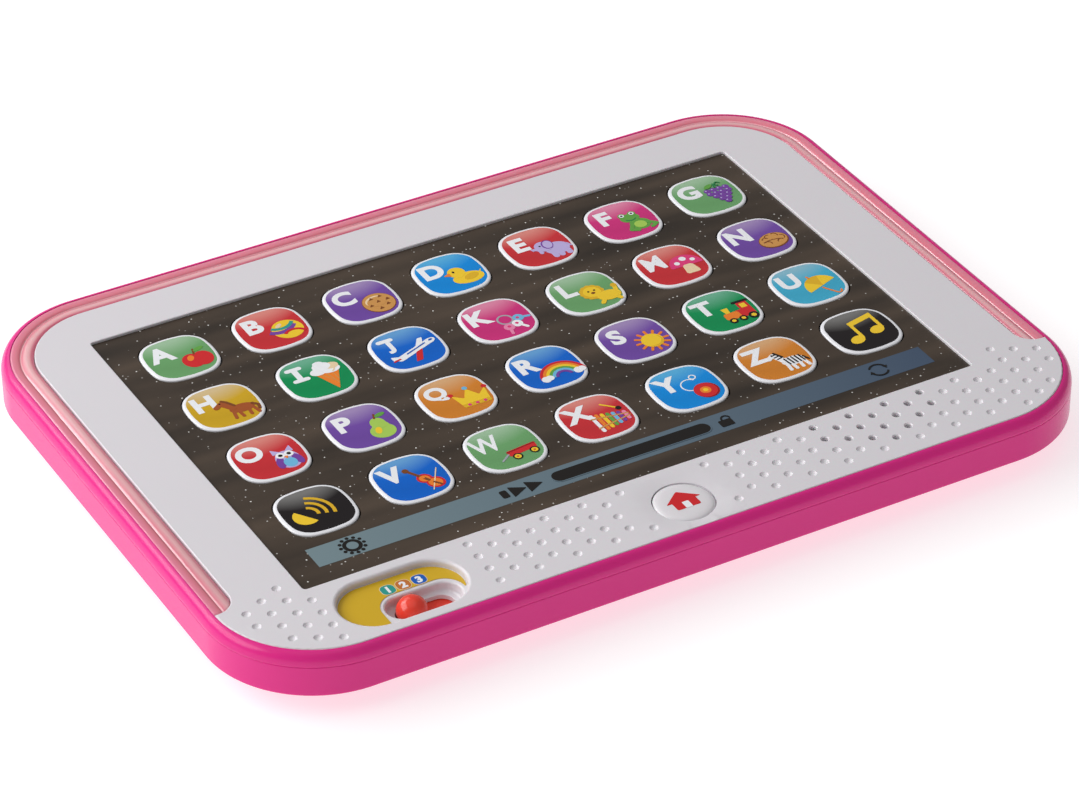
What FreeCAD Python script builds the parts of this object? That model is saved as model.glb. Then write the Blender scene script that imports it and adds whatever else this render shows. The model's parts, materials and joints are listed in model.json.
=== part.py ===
"""Kids toy tablet: a flat play computer with picture keys, a light bar, a home button and a stage switch.

Origin: middle of the footprint, on the plane the tablet rests on. +X to the child's right, +Y away
from the child, +Z up through the keys. Millimetres.
"""

import FreeCAD
import Part
import Sketcher

import os
import re
from math import asin, atan2, cos, degrees, pi, radians, sin, sqrt

V = FreeCAD.Vector

# Driving sizes: name, value, what it is. Each one is a cell of the spreadsheet.
SIZES = [
    ("width", 250.0, "overall width, left to right"),
    ("depth", 176.4, "overall depth, front to back"),
    ("corner", 30.4, "outer corner radius"),
    ("plate_top", 19.0, "height of the white plate"),
    ("rim_top", 18.8, "height of the pink rim"),
    ("seam", 15.2, "height of the seam between rear cover and rim"),
    ("wall_foot", 6.5, "height where the upright wall ends and the back tapers in"),
    ("back_taper", 20.0, "how far the back tapers in"),
    ("foot_round", 1.0, "round at the foot of the wall"),
    ("seam_round", 0.3, "round along the seam, above and below"),
    ("rest_round", 1.6, "round at the edge of the resting face"),
    ("skin", 2.0, "wall of the rear cover"),
    ("lip", 1.0, "thin lip of the rear cover that laps the rim"),
    ("lap", 3.0, "height of that lap"),
    ("seat_gap", 0.1, "gap between neighbours that are fixed together"),
    ("rim_inset", 2.5, "width of the rim seen from above"),
    ("rim_round", 2.35, "round of the rim's outer edge"),
    ("rim_ledge", 5.0, "inset of the ledge that carries the plate"),
    ("ledge_thick", 1.4, "thickness of that ledge"),
    ("bar_inset", 9.0, "inset of the plate where the light bar runs"),
    ("bar_end", 58.5, "how far in front of the middle the light bar ends"),
    ("bar_foot_round", 5.5, "round of the plate at the ends of the light bar"),
    ("bar_drop", 0.2, "how far the light bar's outer strip lies below the plate"),
    ("bar_ridge", 3.7, "width of the light bar's raised inner strip"),
    ("bar_thick", 3.4, "thickness of the light bar"),
    ("led_length", 3.5, "LED, along x"),
    ("led_width", 2.8, "LED, along y"),
    ("led_height", 1.0, "LED height"),
    ("led_air", 0.2, "air round an LED"),
    ("led_first", 14.0, "first LED of a side, from the bar's end"),
    ("led_step", 33.5, "LEDs of a side apart"),
    ("led_back_step", 31.5, "LEDs along the back apart"),
    ("plate_skin", 2.2, "thickness of the faceplate"),
    ("plate_round", 0.35, "round of the plate's edges"),
    ("skirt", 1.8, "thickness of the plate's skirt"),
    ("window_width", 197.0, "screen window, across"),
    ("window_depth", 124.7, "screen window, front to back"),
    ("window_x", -0.45, "middle of the window"),
    ("window_y", 2.25, "middle of the window"),
    ("window_round", 1.0, "corner radius of the window"),
    ("film_drop", 0.8, "film below the plate's top"),
    ("film_thick", 0.8, "thickness of the printed film"),
    ("film_lap", 1.8, "film hidden under the plate, each side"),
    ("key_size", 20.0, "key, side to side"),
    ("key_side_radius", 40.0, "radius of a key's bowed side"),
    ("key_corner", 6.0, "radius of a key's corner"),
    ("key_pitch_x", 27.16, "key spacing across"),
    ("key_pitch_y", 26.23, "key spacing front to back"),
    ("key_grid_x", 0.6, "middle of the key grid"),
    ("key_grid_y", 7.95, "middle of the key grid"),
    ("key_proud", 0.6, "key above the film"),
    ("key_gap", 0.15, "gap round a key in its hole"),
    ("key_round", 0.55, "round of a key's upper edge"),
    ("key_flange", 0.75, "flange that holds a key under the film"),
    ("key_flange_thick", 0.6, "thickness of that flange"),
    ("key_play", 0.4, "room between flange and film"),
    ("key_travel", 0.6, "key travel"),
    ("mat_gap", 0.8, "gap between key and mat"),
    ("mat_thick", 0.8, "thickness of the silicone mat"),
    ("mat_margin", 2.0, "mat beyond the outer keys"),
    ("membrane_thick", 0.4, "thickness of the switch membrane"),
    ("board_thick", 1.0, "thickness of the main board"),
    ("board_width", 202.0, "main board, across"),
    ("board_depth", 122.0, "main board, front to back"),
    ("board_y", 4.5, "middle of the main board"),
    ("board_screw_inset", 3.5, "board screws in from the board's edges"),
    ("chip_side", 14.0, "main chip"),
    ("chip_thick", 1.6, "main chip"),
    ("chip_x", -30.0, "main chip, middle"),
    ("chip_y", 34.5, "main chip, middle"),
    ("post", 3.5, "radius of the screw posts"),
    ("pilot", 1.3, "radius of the pilot holes"),
    ("screw_shank", 1.2, "radius of the screws"),
    ("screw_head", 2.6, "radius of the screw heads"),
    ("screw_head_thick", 1.6, "height of the screw heads"),
    ("screw_cross", 3.1, "length of the cross in a screw's head"),
    ("screw_cross_wide", 0.6, "width of that cross"),
    ("screw_grip", 9.0, "length of a housing screw's shank"),
    ("post_join", 8.0, "height where the rear posts meet the plate's posts"),
    ("side_screw_x", 107.0, "housing screws at the sides"),
    ("side_screw_y", 47.0, "housing screws in front of and behind the middle"),
    ("side_screw_y0", 2.0, "middle of the side screws"),
    ("back_screw_y", 72.5, "housing screw behind the screen"),
    ("front_screw_x", 30.0, "housing screw in the front strip"),
    ("front_screw_y", -72.0, "housing screw in the front strip"),
    ("dimple_radius", 1.2, "radius of a dimple"),
    ("dimple_deep", 0.55, "depth of a dimple"),
    ("dimple_step_x", 5.47, "dimple columns apart"),
    ("dimple_step_y", 5.62, "dimple rows apart"),
    ("dimple_x", 12.45, "first dimple column, out from the middle of the dimples"),
    ("dimple_side_drop", 1.1, "how much nearer the child the outermost columns lie"),
    ("dimple_y", -63.75, "first dimple row"),
    ("sound_hole", 0.95, "radius of a speaker hole"),
    ("home_x", 0.8, "home button's place, and the middle of the dimples"),
    ("home_y", -74.4, "home button's place"),
    ("home_radius", 8.1, "home button"),
    ("home_gap", 0.15, "gap round the home button"),
    ("home_dish", 12.0, "radius of the dish round the home button"),
    ("home_dish_deep", 0.9, "depth of that dish"),
    ("home_flange", 1.2, "flange of the home button"),
    ("home_flange_gap", 0.05, "least gap round that flange, cut into the plate's skirt if need be"),
    ("home_round", 0.9, "round of the home button's edge"),
    ("home_travel", 0.9, "home button's travel"),
    ("home_drop", 0.1, "home button below the plate's top"),
    ("recess_x", -78.6, "stage recess, middle"),
    ("recess_y", -72.9, "stage recess, middle"),
    ("recess_half", 17.0, "half length of the stage recess"),
    ("recess_radius", 9.2, "half width of the stage recess"),
    ("recess_deep", 2.0, "depth of the stage recess"),
    ("recess_round", 1.0, "round at the recess's rim"),
    ("lip_round", 0.7, "round at the bowl's rim"),
    ("bowl_x", -74.2, "bowl round the stage knob, middle"),
    ("bowl_y", -75.9, "bowl round the stage knob, middle"),
    ("bowl_half", 10.2, "half length of the bowl"),
    ("bowl_radius", 4.5, "half width of the bowl"),
    ("bowl_deep", 5.0, "depth of the bowl below the plate"),
    ("bowl_round", 0.8, "round at the bowl's floor"),
    ("tray_wall", 1.2, "wall of the recess and the bowl"),
    ("slot_x", -73.9, "slot in the bowl's floor, middle"),
    ("slot_radius", 3.5, "half width of the slot"),
    ("slot_spare", 0.9, "slot beyond the knob's travel, each end"),
    ("stage_travel", 7.2, "travel of the stage knob over its three places"),
    ("knob_radius", 4.1, "stage knob"),
    ("knob_neck", 2.9, "neck of the stage knob"),
    ("knob_sunk", 4.2, "middle of the knob below the plate"),
    ("slider_thick", 1.0, "slider plate"),
    ("slider_cover", 0.6, "slider plate beyond the slot"),
    ("slide_air", 0.2, "air over and under the slider"),
    ("label_thick", 0.15, "stage label"),
    ("label_margin", 0.3, "white left round the stage label"),
    ("label_bowl_margin", 1.2, "white left between the label and the bowl"),
    ("strip_board_thick", 1.2, "board under the front strip"),
    ("strip_board_left", -98.0, "left end of that board"),
    ("strip_board_right", 22.0, "right end of that board"),
    ("strip_board_front", -82.0, "front edge of that board"),
    ("strip_board_back", -64.0, "back edge of that board"),
    ("tact_side", 6.0, "home switch"),
    ("tact_height", 3.5, "home switch"),
    ("tact_plunger", 1.6, "radius of the home switch's plunger"),
    ("tact_plunger_height", 0.8, "height of that plunger"),
    ("stage_switch_height", 1.3, "height of the stage switch's case"),
    ("stage_peg", 1.0, "radius of the slider's peg"),
    ("speaker_x", 62.6, "speaker, middle"),
    ("speaker_y", -69.5, "speaker, middle"),
    ("speaker_radius", 13.0, "speaker frame"),
    ("speaker_deep", 5.6, "depth of the speaker"),
    ("magnet_radius", 8.0, "speaker magnet"),
    ("magnet_deep", 2.8, "speaker magnet"),
    ("basket_radius", 6.5, "floor of the speaker's basket"),
    ("basket_high", 3.4, "height of that floor above the magnet's back"),
    ("frame_flange", 1.0, "thickness of the speaker's flange"),
    ("frame_rim", 2.5, "width of that flange"),
    ("cone_foot", 5.3, "radius of the cone's foot"),
    ("cone_thick", 0.5, "thickness of the cone"),
    ("cone_wide", 9.8, "radius of the cone"),
    ("cone_sunk", 0.3, "cone below the frame's face"),
    ("gasket_thick", 0.8, "foam ring on the speaker"),
    ("gasket_wide", 2.2, "width of the foam ring"),
    ("cell_radius", 5.25, "AAA cell"),
    ("cell_length", 43.7, "AAA cell without its nub"),
    ("nub_radius", 1.9, "AAA cell's nub"),
    ("nub_length", 0.8, "AAA cell's nub"),
    ("cell_gap", 0.7, "gap between the cells"),
    ("bay_x", 20.0, "battery bay, middle"),
    ("bay_y", 18.0, "battery bay, middle"),
    ("bay_end", 4.0, "room for the springs and contact plates, each end"),
    ("bay_side", 0.6, "room beside the outer cells"),
    ("bay_wall", 1.4, "wall of the battery bay"),
    ("bay_roof", 0.8, "roof of the battery bay"),
    ("door_thick", 1.6, "battery door"),
    ("door_ledge", 1.6, "ledge under the door's edge"),
    ("door_gap", 0.25, "gap round the door"),
    ("door_ear", 5.0, "radius of the door's screw ear"),
    ("door_corner", 2.0, "corner radius of the door"),
    ("door_travel", 60.0, "how far the door lifts off"),
    ("spring_coil", 2.6, "radius of a contact spring"),
    ("spring_wire", 0.3, "radius of its wire"),
    ("spring_turns", 2.5, "turns of a contact spring"),
    ("contact_thick", 0.35, "contact plate"),
    ("power_x", -60.0, "power switch, middle"),
    ("power_y", 20.0, "power switch, middle"),
    ("power_well_half", 10.0, "half length of the power switch's well"),
    ("power_well_radius", 4.5, "half width of the well"),
    ("power_well_deep", 1.4, "depth of the well"),
    ("power_knob_half", 5.6, "half length of the power knob"),
    ("power_travel", 8.0, "power switch's travel: off, low, high"),
    ("power_stem", 1.4, "radius of the power knob's stem"),
    ("power_air", 0.2, "air round the power knob"),
    ("wire_radius", 0.6, "insulated wire"),
    ("lead_jog", 8.0, "sideways step of the battery leads"),
    ("speaker_lead_jog", 9.0, "sideways step of the speaker leads"),
    ("speaker_lead_run", 6.0, "run of the speaker leads past that step"),
]

# Heights and places worked out from the driving sizes.
DERIVED = {
    "half_w": "width / 2",
    "half_d": "depth / 2",
    "ledge_bottom": "seam - lap",
    "ledge_top": "ledge_bottom + ledge_thick",
    "rim_skirt": "lip + seat_gap",
    "plate_bottom": "plate_top - plate_skin",
    "bar_top": "plate_top - bar_drop",
    "bar_bottom": "bar_top - bar_thick",
    "bar_outer": "rim_inset + seat_gap",
    "film_top": "plate_top - film_drop",
    "film_bottom": "film_top - film_thick",
    "key_top": "film_top + key_proud",
    "key_bottom": "film_bottom - key_play - key_flange_thick",
    "key_half": "key_size / 2",
    "mat_top": "key_bottom - mat_gap",
    "mat_bottom": "mat_top - mat_thick",
    "mat_half_x": "3 * key_pitch_x + key_half + mat_margin",
    "mat_half_y": "1.5 * key_pitch_y + key_half + mat_margin",
    "board_top": "mat_bottom - membrane_thick",
    "board_bottom": "board_top - board_thick",
    "board_screw_x": "board_width / 2 - board_screw_inset",
    "board_screw_y": "board_depth / 2 - board_screw_inset",
    "inner_foot": "wall_foot + skin",
    "recess_floor": "plate_top - recess_deep",
    "bowl_floor": "plate_top - bowl_deep",
    "bowl_under": "bowl_floor - tray_wall",
    "slot_reach": "stage_travel / 2 + slot_radius + slot_spare",
    "knob_x": "slot_x - stage_travel / 2",
    "knob_z": "plate_top - knob_sunk",
    "slider_top": "bowl_under - slide_air",
    "slider_bottom": "slider_top - slider_thick",
    "slider_half": "slot_reach + stage_travel / 2 + slider_cover",
    "slider_radius": "slot_radius + slider_cover",
    "stage_switch_top": "slider_bottom - slide_air",
    "strip_board_top": "stage_switch_top - stage_switch_height",
    "strip_board_bottom": "strip_board_top - strip_board_thick",
    "home_bottom": "strip_board_top + tact_height + tact_plunger_height + home_travel + slide_air",
    "home_flange_top": "plate_bottom - slide_air",
    "home_top": "plate_top - home_drop",
    "speaker_top": "plate_bottom - gasket_thick",
    "speaker_bottom": "speaker_top - speaker_deep",
    "cell_z": "door_thick + seat_gap + cell_radius",
    "bay_top": "cell_z + cell_radius + seat_gap",
    "bay_half_x": "cell_length / 2 + nub_length / 2 + bay_end",
    "bay_half_y": "3 * cell_radius + cell_gap + bay_side",
    "door_half_x": "bay_half_x + door_ledge - door_gap",
    "door_half_y": "bay_half_y + door_ledge - door_gap",
    "door_screw_y": "bay_y + bay_half_y + bay_wall + door_ear",
    "power_floor": "power_well_deep + tray_wall",
    "power_stem_reach": "power_travel / 2 + power_stem",
}

NAMES = {alias for alias, _, _ in SIZES}
SHEET = "sizes"
KEYS = [f"app_key_{letter}" for letter in "abcdefghijklmnopqrstu"]
KEYS += ["key_sound"] + [f"app_key_{letter}" for letter in "vwxyz"] + ["key_music"]
COLUMNS, ROWS = 7, 4

doc = FreeCAD.newDocument("toy_tablet")
sheet = doc.addObject("Spreadsheet::Sheet", SHEET)
for row, (alias, value, meaning) in enumerate(SIZES, 1):
    sheet.set(f"A{row}", meaning)
    sheet.set(f"B{row}", str(value))
    sheet.setAlias(f"B{row}", alias)
doc.recompute()


# ---- sizes and expressions ----------------------------------------------------------------------


def spelled(text):
    """An expression in the sheet's own names, with the derived names written out."""

    def swap(match):
        word = match.group(0)
        if word in DERIVED:
            return f"({spelled(DERIVED[word])})"
        return f"{SHEET}.{word}" if word in NAMES else word

    return re.sub(r"[a-z_][a-z_0-9]*", swap, str(text))


def size(text):
    """The number that an expression comes to."""
    return float(sheet.evalExpression(spelled(text)))


def bind(thing, **properties):
    """Tie properties of a document object to expressions; a double underscore stands for a dot."""
    for name, text in properties.items():
        thing.setExpression(name.replace("__", "."), spelled(text))


def place(thing, x="0", y="0", z="0"):
    """Tie an object's place to expressions."""
    bind(thing, Placement__Base__x=x, Placement__Base__y=y, Placement__Base__z=z)


# ---- sketches -----------------------------------------------------------------------------------


def new_body(name):
    body = doc.addObject("PartDesign::Body", name)
    body.Label = name
    return body


def origin_plane(body, role):
    return next(o for o in body.Origin.OriginFeatures if o.Role == role)


def new_sketch(body, z="0", role="XY_Plane"):
    """An empty sketch on one of the body's planes, raised by z."""
    sketch = body.newObject("Sketcher::SketchObject", body.Name + "_sketch")
    sketch.AttachmentSupport = [(origin_plane(body, role), "")]
    sketch.MapMode = "FlatFace"
    bind(sketch, AttachmentOffset__Base__z=z)
    return sketch


def rule(sketch, kind, *where, to):
    """One sized constraint of a sketch, tied to an expression."""
    index = sketch.addConstraint(Sketcher.Constraint(kind, *where, size(to)))
    sketch.setExpression(f"Constraints[{index}]", spelled(to))


def circle(sketch, radius, x="0", y="0"):
    i = sketch.addGeometry(Part.Circle(V(size(x), size(y), 0), V(0, 0, 1), size(radius)))
    rule(sketch, "Radius", i, to=radius)
    rule(sketch, "DistanceX", -1, 1, i, 3, to=x)
    rule(sketch, "DistanceY", -1, 1, i, 3, to=y)


def arc_of(x, y, radius, start, end):
    """An arc, counterclockwise between two angles in degrees."""
    round_edge = Part.Circle(V(x, y, 0), V(0, 0, 1), radius)
    return Part.ArcOfCircle(round_edge, radians(start), radians(end))


def pill(sketch, half, radius, x="0", y="0"):
    """A stadium along X: half its whole length, and its radius."""
    reach, r, cx, cy = size(f"{half} - ({radius})"), size(radius), size(x), size(y)
    right = sketch.addGeometry(arc_of(cx + reach, cy, r, -90, 90))
    top = sketch.addGeometry(Part.LineSegment(V(cx + reach, cy + r, 0), V(cx - reach, cy + r, 0)))
    left = sketch.addGeometry(arc_of(cx - reach, cy, r, 90, 270))
    foot = sketch.addGeometry(Part.LineSegment(V(cx - reach, cy - r, 0), V(cx + reach, cy - r, 0)))
    chain = [(right, 2, top, 1), (top, 2, left, 1), (left, 2, foot, 1), (foot, 2, right, 1)]
    sketch.addConstraint([Sketcher.Constraint("Tangent", *joint) for joint in chain])
    sketch.addConstraint([Sketcher.Constraint("Horizontal", line) for line in (top, foot)])
    rule(sketch, "Radius", right, to=radius)
    rule(sketch, "DistanceX", -1, 1, right, 3, to=f"{x} + {half} - ({radius})")
    rule(sketch, "DistanceX", -1, 1, left, 3, to=f"{x} - ({half}) + {radius}")
    rule(sketch, "DistanceY", -1, 1, right, 3, to=y)


def outline(sketch, corners):
    """A closed outline of upright and level edges, from (x, y, radius or None) at each corner."""
    count = len(corners)
    spot = [V(size(x), size(y), 0) for x, y, _ in corners]
    ends = []
    for i, (_, _, radius) in enumerate(corners):
        back = (spot[i - 1] - spot[i]).normalize()
        ahead = (spot[(i + 1) % count] - spot[i]).normalize()
        r = size(radius) if radius else 0.0
        ends.append((spot[i] + back * r, spot[i] + ahead * r, back, ahead, r))
    lines = []
    for i in range(count):
        edge = Part.LineSegment(ends[i][1], ends[(i + 1) % count][0])
        lines.append(sketch.addGeometry(edge))
    for i, (x, y, radius) in enumerate(corners):
        arrive, leave = lines[i - 1], lines[i]
        level = abs(ends[i][3].y) < 0.5
        sketch.addConstraint(Sketcher.Constraint("Horizontal" if level else "Vertical", leave))
        axis, at = ("DistanceY", y) if level else ("DistanceX", x)
        rule(sketch, axis, -1, 1, leave, 1, to=at)
        if not radius:
            sketch.addConstraint(Sketcher.Constraint("Coincident", arrive, 2, leave, 1))
            continue
        start, end, back, ahead, r = ends[i]
        middle = spot[i] + (back + ahead) * r
        from_start = degrees(atan2(start.y - middle.y, start.x - middle.x))
        left_turn = back.x * ahead.y - back.y * ahead.x < 0
        sweep = (from_start, from_start + 90) if left_turn else (from_start - 90, from_start)
        arc = sketch.addGeometry(arc_of(middle.x, middle.y, r, *sweep))
        first, last = (1, 2) if left_turn else (2, 1)
        sketch.addConstraint(Sketcher.Constraint("Tangent", arrive, 2, arc, first))
        sketch.addConstraint(Sketcher.Constraint("Tangent", arc, last, leave, 1))
        rule(sketch, "Radius", arc, to=radius)


def box_outline(sketch, left, right, front, back, radius=None):
    corners = [(left, front), (right, front), (right, back), (left, back)]
    outline(sketch, [(x, y, radius) for x, y in corners])


def inset_outline(sketch, inset):
    """The tablet's rounded outline, drawn in by an inset."""
    box_outline(
        sketch,
        f"-(half_w - ({inset}))",
        f"half_w - ({inset})",
        f"-(half_d - ({inset}))",
        f"half_d - ({inset})",
        f"corner - ({inset})",
    )


def window_outline(sketch, margin, radius):
    """A rectangle round the screen window, larger by a margin."""
    box_outline(
        sketch,
        f"window_x - window_width / 2 - ({margin})",
        f"window_x + window_width / 2 + {margin}",
        f"window_y - window_depth / 2 - ({margin})",
        f"window_y + window_depth / 2 + {margin}",
        radius,
    )


def arch_outline(sketch, inset, reach, end_gap="0"):
    """A square U open to the front: its inner edge runs at an inset, with rounded feet."""
    inner = f"half_w - ({inset})"
    end = f"-(bar_end - ({end_gap}))"
    foot = f"bar_foot_round - (bar_inset - ({inset}))"
    outer = f"half_w + {reach}"
    bend = f"corner - ({inset})"
    top = f"half_d - ({inset})"
    outline(
        sketch,
        [
            (f"-({outer})", end, None),
            (f"-({inner})", end, foot),
            (f"-({inner})", top, bend),
            (inner, top, bend),
            (inner, end, foot),
            (outer, end, None),
            (outer, f"half_d + {reach}", None),
            (f"-({outer})", f"half_d + {reach}", None),
        ],
    )


def squircle(sketch, half, side, bend, x="0", y="0"):
    """A key's outline: four bowed sides and four corner arcs, tangent all round."""
    h, s, b, cx, cy = (size(t) for t in (half, side, bend, x, y))
    k = s - h
    c = (-2 * k + sqrt(4 * k * k - 8 * (k * k - (s - b) ** 2))) / 4
    lean = degrees(asin(c / (s - b)))
    sides, bends = [], []
    for turn in range(4):
        angle = 90 * turn
        dx, dy = cos(radians(angle)), sin(radians(angle))
        middle = (cx - k * dx, cy - k * dy)
        sides.append(sketch.addGeometry(arc_of(*middle, s, angle - lean, angle + lean)))
        diagonal = (cx + c * (dx - dy), cy + c * (dy + dx))
        bends.append(sketch.addGeometry(arc_of(*diagonal, b, angle + lean, angle + 90 - lean)))
    for turn in range(4):
        joints = [(sides[turn], 2, bends[turn], 1), (bends[turn], 2, sides[(turn + 1) % 4], 1)]
        sketch.addConstraint([Sketcher.Constraint("Tangent", *joint) for joint in joints])
        rule(sketch, "Radius", sides[turn], to=side)
        rule(sketch, "Radius", bends[turn], to=bend)
        sign = ("-", "-", "", "")[turn]
        level = turn % 2 == 0
        along = f"{x if level else y} + {sign}1 * ({side} - ({half}))"
        across = y if level else x
        rule(sketch, "DistanceX" if level else "DistanceY", -1, 1, sides[turn], 3, to=along)
        rule(sketch, "DistanceY" if level else "DistanceX", -1, 1, sides[turn], 3, to=across)


# ---- features -----------------------------------------------------------------------------------


def pad(body, sketch, length):
    feature = body.newObject("PartDesign::Pad", body.Name + "_pad")
    feature.Profile = sketch
    bind(feature, Length=length)
    doc.recompute()
    return feature


def pocket(body, sketch, length, upward=False):
    """Cut downwards from the sketch, or upwards; it has to take something away."""
    before = body.Shape.Volume
    feature = body.newObject("PartDesign::Pocket", body.Name + "_pocket")
    feature.Profile = sketch
    feature.Reversed = upward
    bind(feature, Length=length)
    doc.recompute()
    if not body.Shape.Volume < before:
        raise RuntimeError(f"{feature.Name} cuts nothing")
    return feature


def loft(body, lower, upper, kind="PartDesign::AdditiveLoft"):
    feature = body.newObject(kind, body.Name + "_loft")
    feature.Profile = lower
    feature.Sections = [(upper, [""])]
    feature.Ruled = True
    doc.recompute()
    return feature


def revolve(body, sketch):
    """A full turn of an XZ sketch about the body's upright axis."""
    feature = body.newObject("PartDesign::Revolution", body.Name + "_turn")
    feature.Profile = sketch
    feature.ReferenceAxis = (sketch, ["V_Axis"])
    feature.Angle = 360
    doc.recompute()
    return feature


def edges_where(shape, test):
    return [f"Edge{i}" for i, edge in enumerate(shape.Edges, 1) if test(edge.BoundBox)]


def level_at(z, within=None):
    """A test for the edges that lie flat at a height, and inside a box (x0, y0, x1, y1) if given."""
    height = size(z)

    def test(b):
        flat = abs(b.ZMin - height) < 0.01 and abs(b.ZMax - height) < 0.01
        if not flat or within is None:
            return flat
        x0, y0, x1, y1 = within
        return b.XMin > x0 and b.XMax < x1 and b.YMin > y0 and b.YMax < y1

    return test


def fillet(body, test, radius):
    base = body.Tip
    names = edges_where(base.Shape, test)
    if not names:
        raise RuntimeError(f"{body.Name} has no edge to round")
    feature = body.newObject("PartDesign::Fillet", body.Name + "_fillet")
    feature.Base = (base, names)
    bind(feature, Radius=radius)
    doc.recompute()
    return feature


def profile(body, points):
    """A closed XZ profile of straight edges for a turned piece, from (radius, height) expressions."""
    sketch = new_sketch(body, role="XZ_Plane")
    outline_free(sketch, points)
    return sketch


def outline_free(sketch, points):
    """A closed polygon whose corners are each tied to two expressions."""
    spot = [V(size(x), size(y), 0) for x, y in points]
    count = len(points)
    lines = [sketch.addGeometry(Part.LineSegment(spot[i], spot[(i + 1) % count])) for i in range(count)]
    for i, (x, y) in enumerate(points):
        sketch.addConstraint(Sketcher.Constraint("Coincident", lines[i - 1], 2, lines[i], 1))
        rule(sketch, "DistanceX", -1, 1, lines[i], 1, to=x)
        rule(sketch, "DistanceY", -1, 1, lines[i], 1, to=y)


def box(name, length, width, height, x, y, z):
    """A Part box standing on z, with its middle at x, y."""
    block = doc.addObject("Part::Box", name)
    bind(block, Length=length, Width=width, Height=height)
    place(block, f"{x} - ({length}) / 2", f"{y} - ({width}) / 2", z)
    return block


def cylinder(name, radius, height, x, y, z, along_x=False):
    rod = doc.addObject("Part::Cylinder", name)
    if along_x:
        rod.Placement.Rotation = FreeCAD.Rotation(V(0, 1, 0), 90)
    bind(rod, Radius=radius, Height=height)
    place(rod, x, y, z)
    return rod


def fused(name, *pieces):
    joined = doc.addObject("Part::MultiFuse", name)
    joined.Shapes = list(pieces)
    return joined


def cut(name, base, tool):
    result = doc.addObject("Part::Cut", name)
    result.Base = base
    result.Tool = tool
    return result


def group(name, pieces):
    """Several like solids that share one node."""
    joined = doc.addObject("Part::Compound", name)
    joined.Links = list(pieces)
    return joined


def feature(name, shape):
    """A piece whose shape Part's own functions make."""
    thing = doc.addObject("Part::Feature", name)
    thing.Shape = shape
    return thing


# ---- housing ------------------------------------------------------------------------------------

SIDE_SCREWS = [
    (f"{i} * side_screw_x", f"side_screw_y0 + {j} * side_screw_y") for i in (-1, 1) for j in (-1, 1)
]
HOUSING_SCREWS = SIDE_SCREWS + [("0", "back_screw_y"), ("front_screw_x", "front_screw_y")]
BOARD_SCREWS = [
    (f"{i} * board_screw_x", f"board_y + {j} * board_screw_y") for i in (-1, 1) for j in (-1, 1)
]


def circles(sketch, radius, places):
    for x, y in places:
        circle(sketch, radius, x, y)


def rear_shell(body):
    """The pan: an upright wall, a tapering back and an even skin."""
    wall = new_sketch(body, "wall_foot")
    inset_outline(wall, "0")
    pad(body, wall, "seam - wall_foot")
    upper = new_sketch(body, "wall_foot")
    inset_outline(upper, "0")
    lower = new_sketch(body, "0")
    inset_outline(lower, "back_taper")
    loft(body, upper, lower)
    fillet(body, level_at("wall_foot"), "foot_round")
    fillet(body, level_at("0"), "rest_round")
    fillet(body, level_at("seam"), "seam_round")
    hollow = new_sketch(body, "seam")
    inset_outline(hollow, "skin")
    pocket(body, hollow, "seam - inner_foot")
    brim = new_sketch(body, "inner_foot")
    inset_outline(brim, "skin")
    floor = new_sketch(body, "skin")
    inset_outline(floor, "back_taper")
    loft(body, brim, floor, "PartDesign::SubtractiveLoft")
    rebate = new_sketch(body, "seam")
    inset_outline(rebate, "lip")
    pocket(body, rebate, "lap + seat_gap")


def rear_posts(body):
    """Posts for the housing screws and the board screws, with their holes."""
    posts = new_sketch(body, "skin / 2")
    circles(posts, "post + skin / 2", HOUSING_SCREWS)
    pad(body, posts, "post_join - skin / 2")
    board_posts = new_sketch(body, "skin / 2")
    circles(board_posts, "post", BOARD_SCREWS)
    pad(body, board_posts, "board_bottom - skin / 2")
    heads = new_sketch(body, "0")
    circles(heads, "screw_head + seat_gap * 2", HOUSING_SCREWS)
    pocket(body, heads, "screw_head_thick * 2", upward=True)
    shanks = new_sketch(body, "0")
    circles(shanks, "pilot + seat_gap", HOUSING_SCREWS)
    pocket(body, shanks, "post_join", upward=True)
    pilots = new_sketch(body, "board_bottom")
    circles(pilots, "pilot", BOARD_SCREWS)
    pocket(body, pilots, "board_bottom / 2")


def bay_outline(sketch, grow):
    box_outline(
        sketch,
        f"bay_x - bay_half_x - ({grow})",
        f"bay_x + bay_half_x + {grow}",
        f"bay_y - bay_half_y - ({grow})",
        f"bay_y + bay_half_y + {grow}",
    )


def door_outline(sketch, grow):
    """The door's rectangle; its screw ear stands on the middle of the far side."""
    box_outline(
        sketch,
        f"bay_x - door_half_x - ({grow})",
        f"bay_x + door_half_x + {grow}",
        f"bay_y - door_half_y - ({grow})",
        f"bay_y + door_half_y + {grow}",
        "door_corner",
    )


def ear_outline(sketch, grow):
    """The ear that carries the door's screw."""
    reach = f"door_ear + {grow}"
    box_outline(
        sketch,
        f"bay_x - ({reach})",
        f"bay_x + {reach}",
        "bay_y + bay_half_y",
        f"door_screw_y + {reach}",
        "door_corner",
    )


def battery_bay(body):
    """The battery bay: a box on the inside of the back, open to the outside under the door."""
    block = new_sketch(body, "skin / 2")
    bay_outline(block, "bay_wall + door_ledge")
    pad(body, block, "bay_top + bay_roof - skin / 2")
    boss = new_sketch(body, "skin / 2")
    circle(boss, "door_ear", "bay_x", "door_screw_y")
    pad(body, boss, "post_join - skin / 2")
    hollow = new_sketch(body, "0")
    bay_outline(hollow, "0")
    pocket(body, hollow, "bay_top", upward=True)
    for draw in (door_outline, ear_outline):
        rebate = new_sketch(body, "0")
        draw(rebate, "door_gap")
        pocket(body, rebate, "door_thick + seat_gap / 2", upward=True)
    pilot = new_sketch(body, "0")
    circle(pilot, "pilot + seat_gap", "bay_x", "door_screw_y")
    pocket(body, pilot, "post_join - skin / 2", upward=True)


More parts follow.
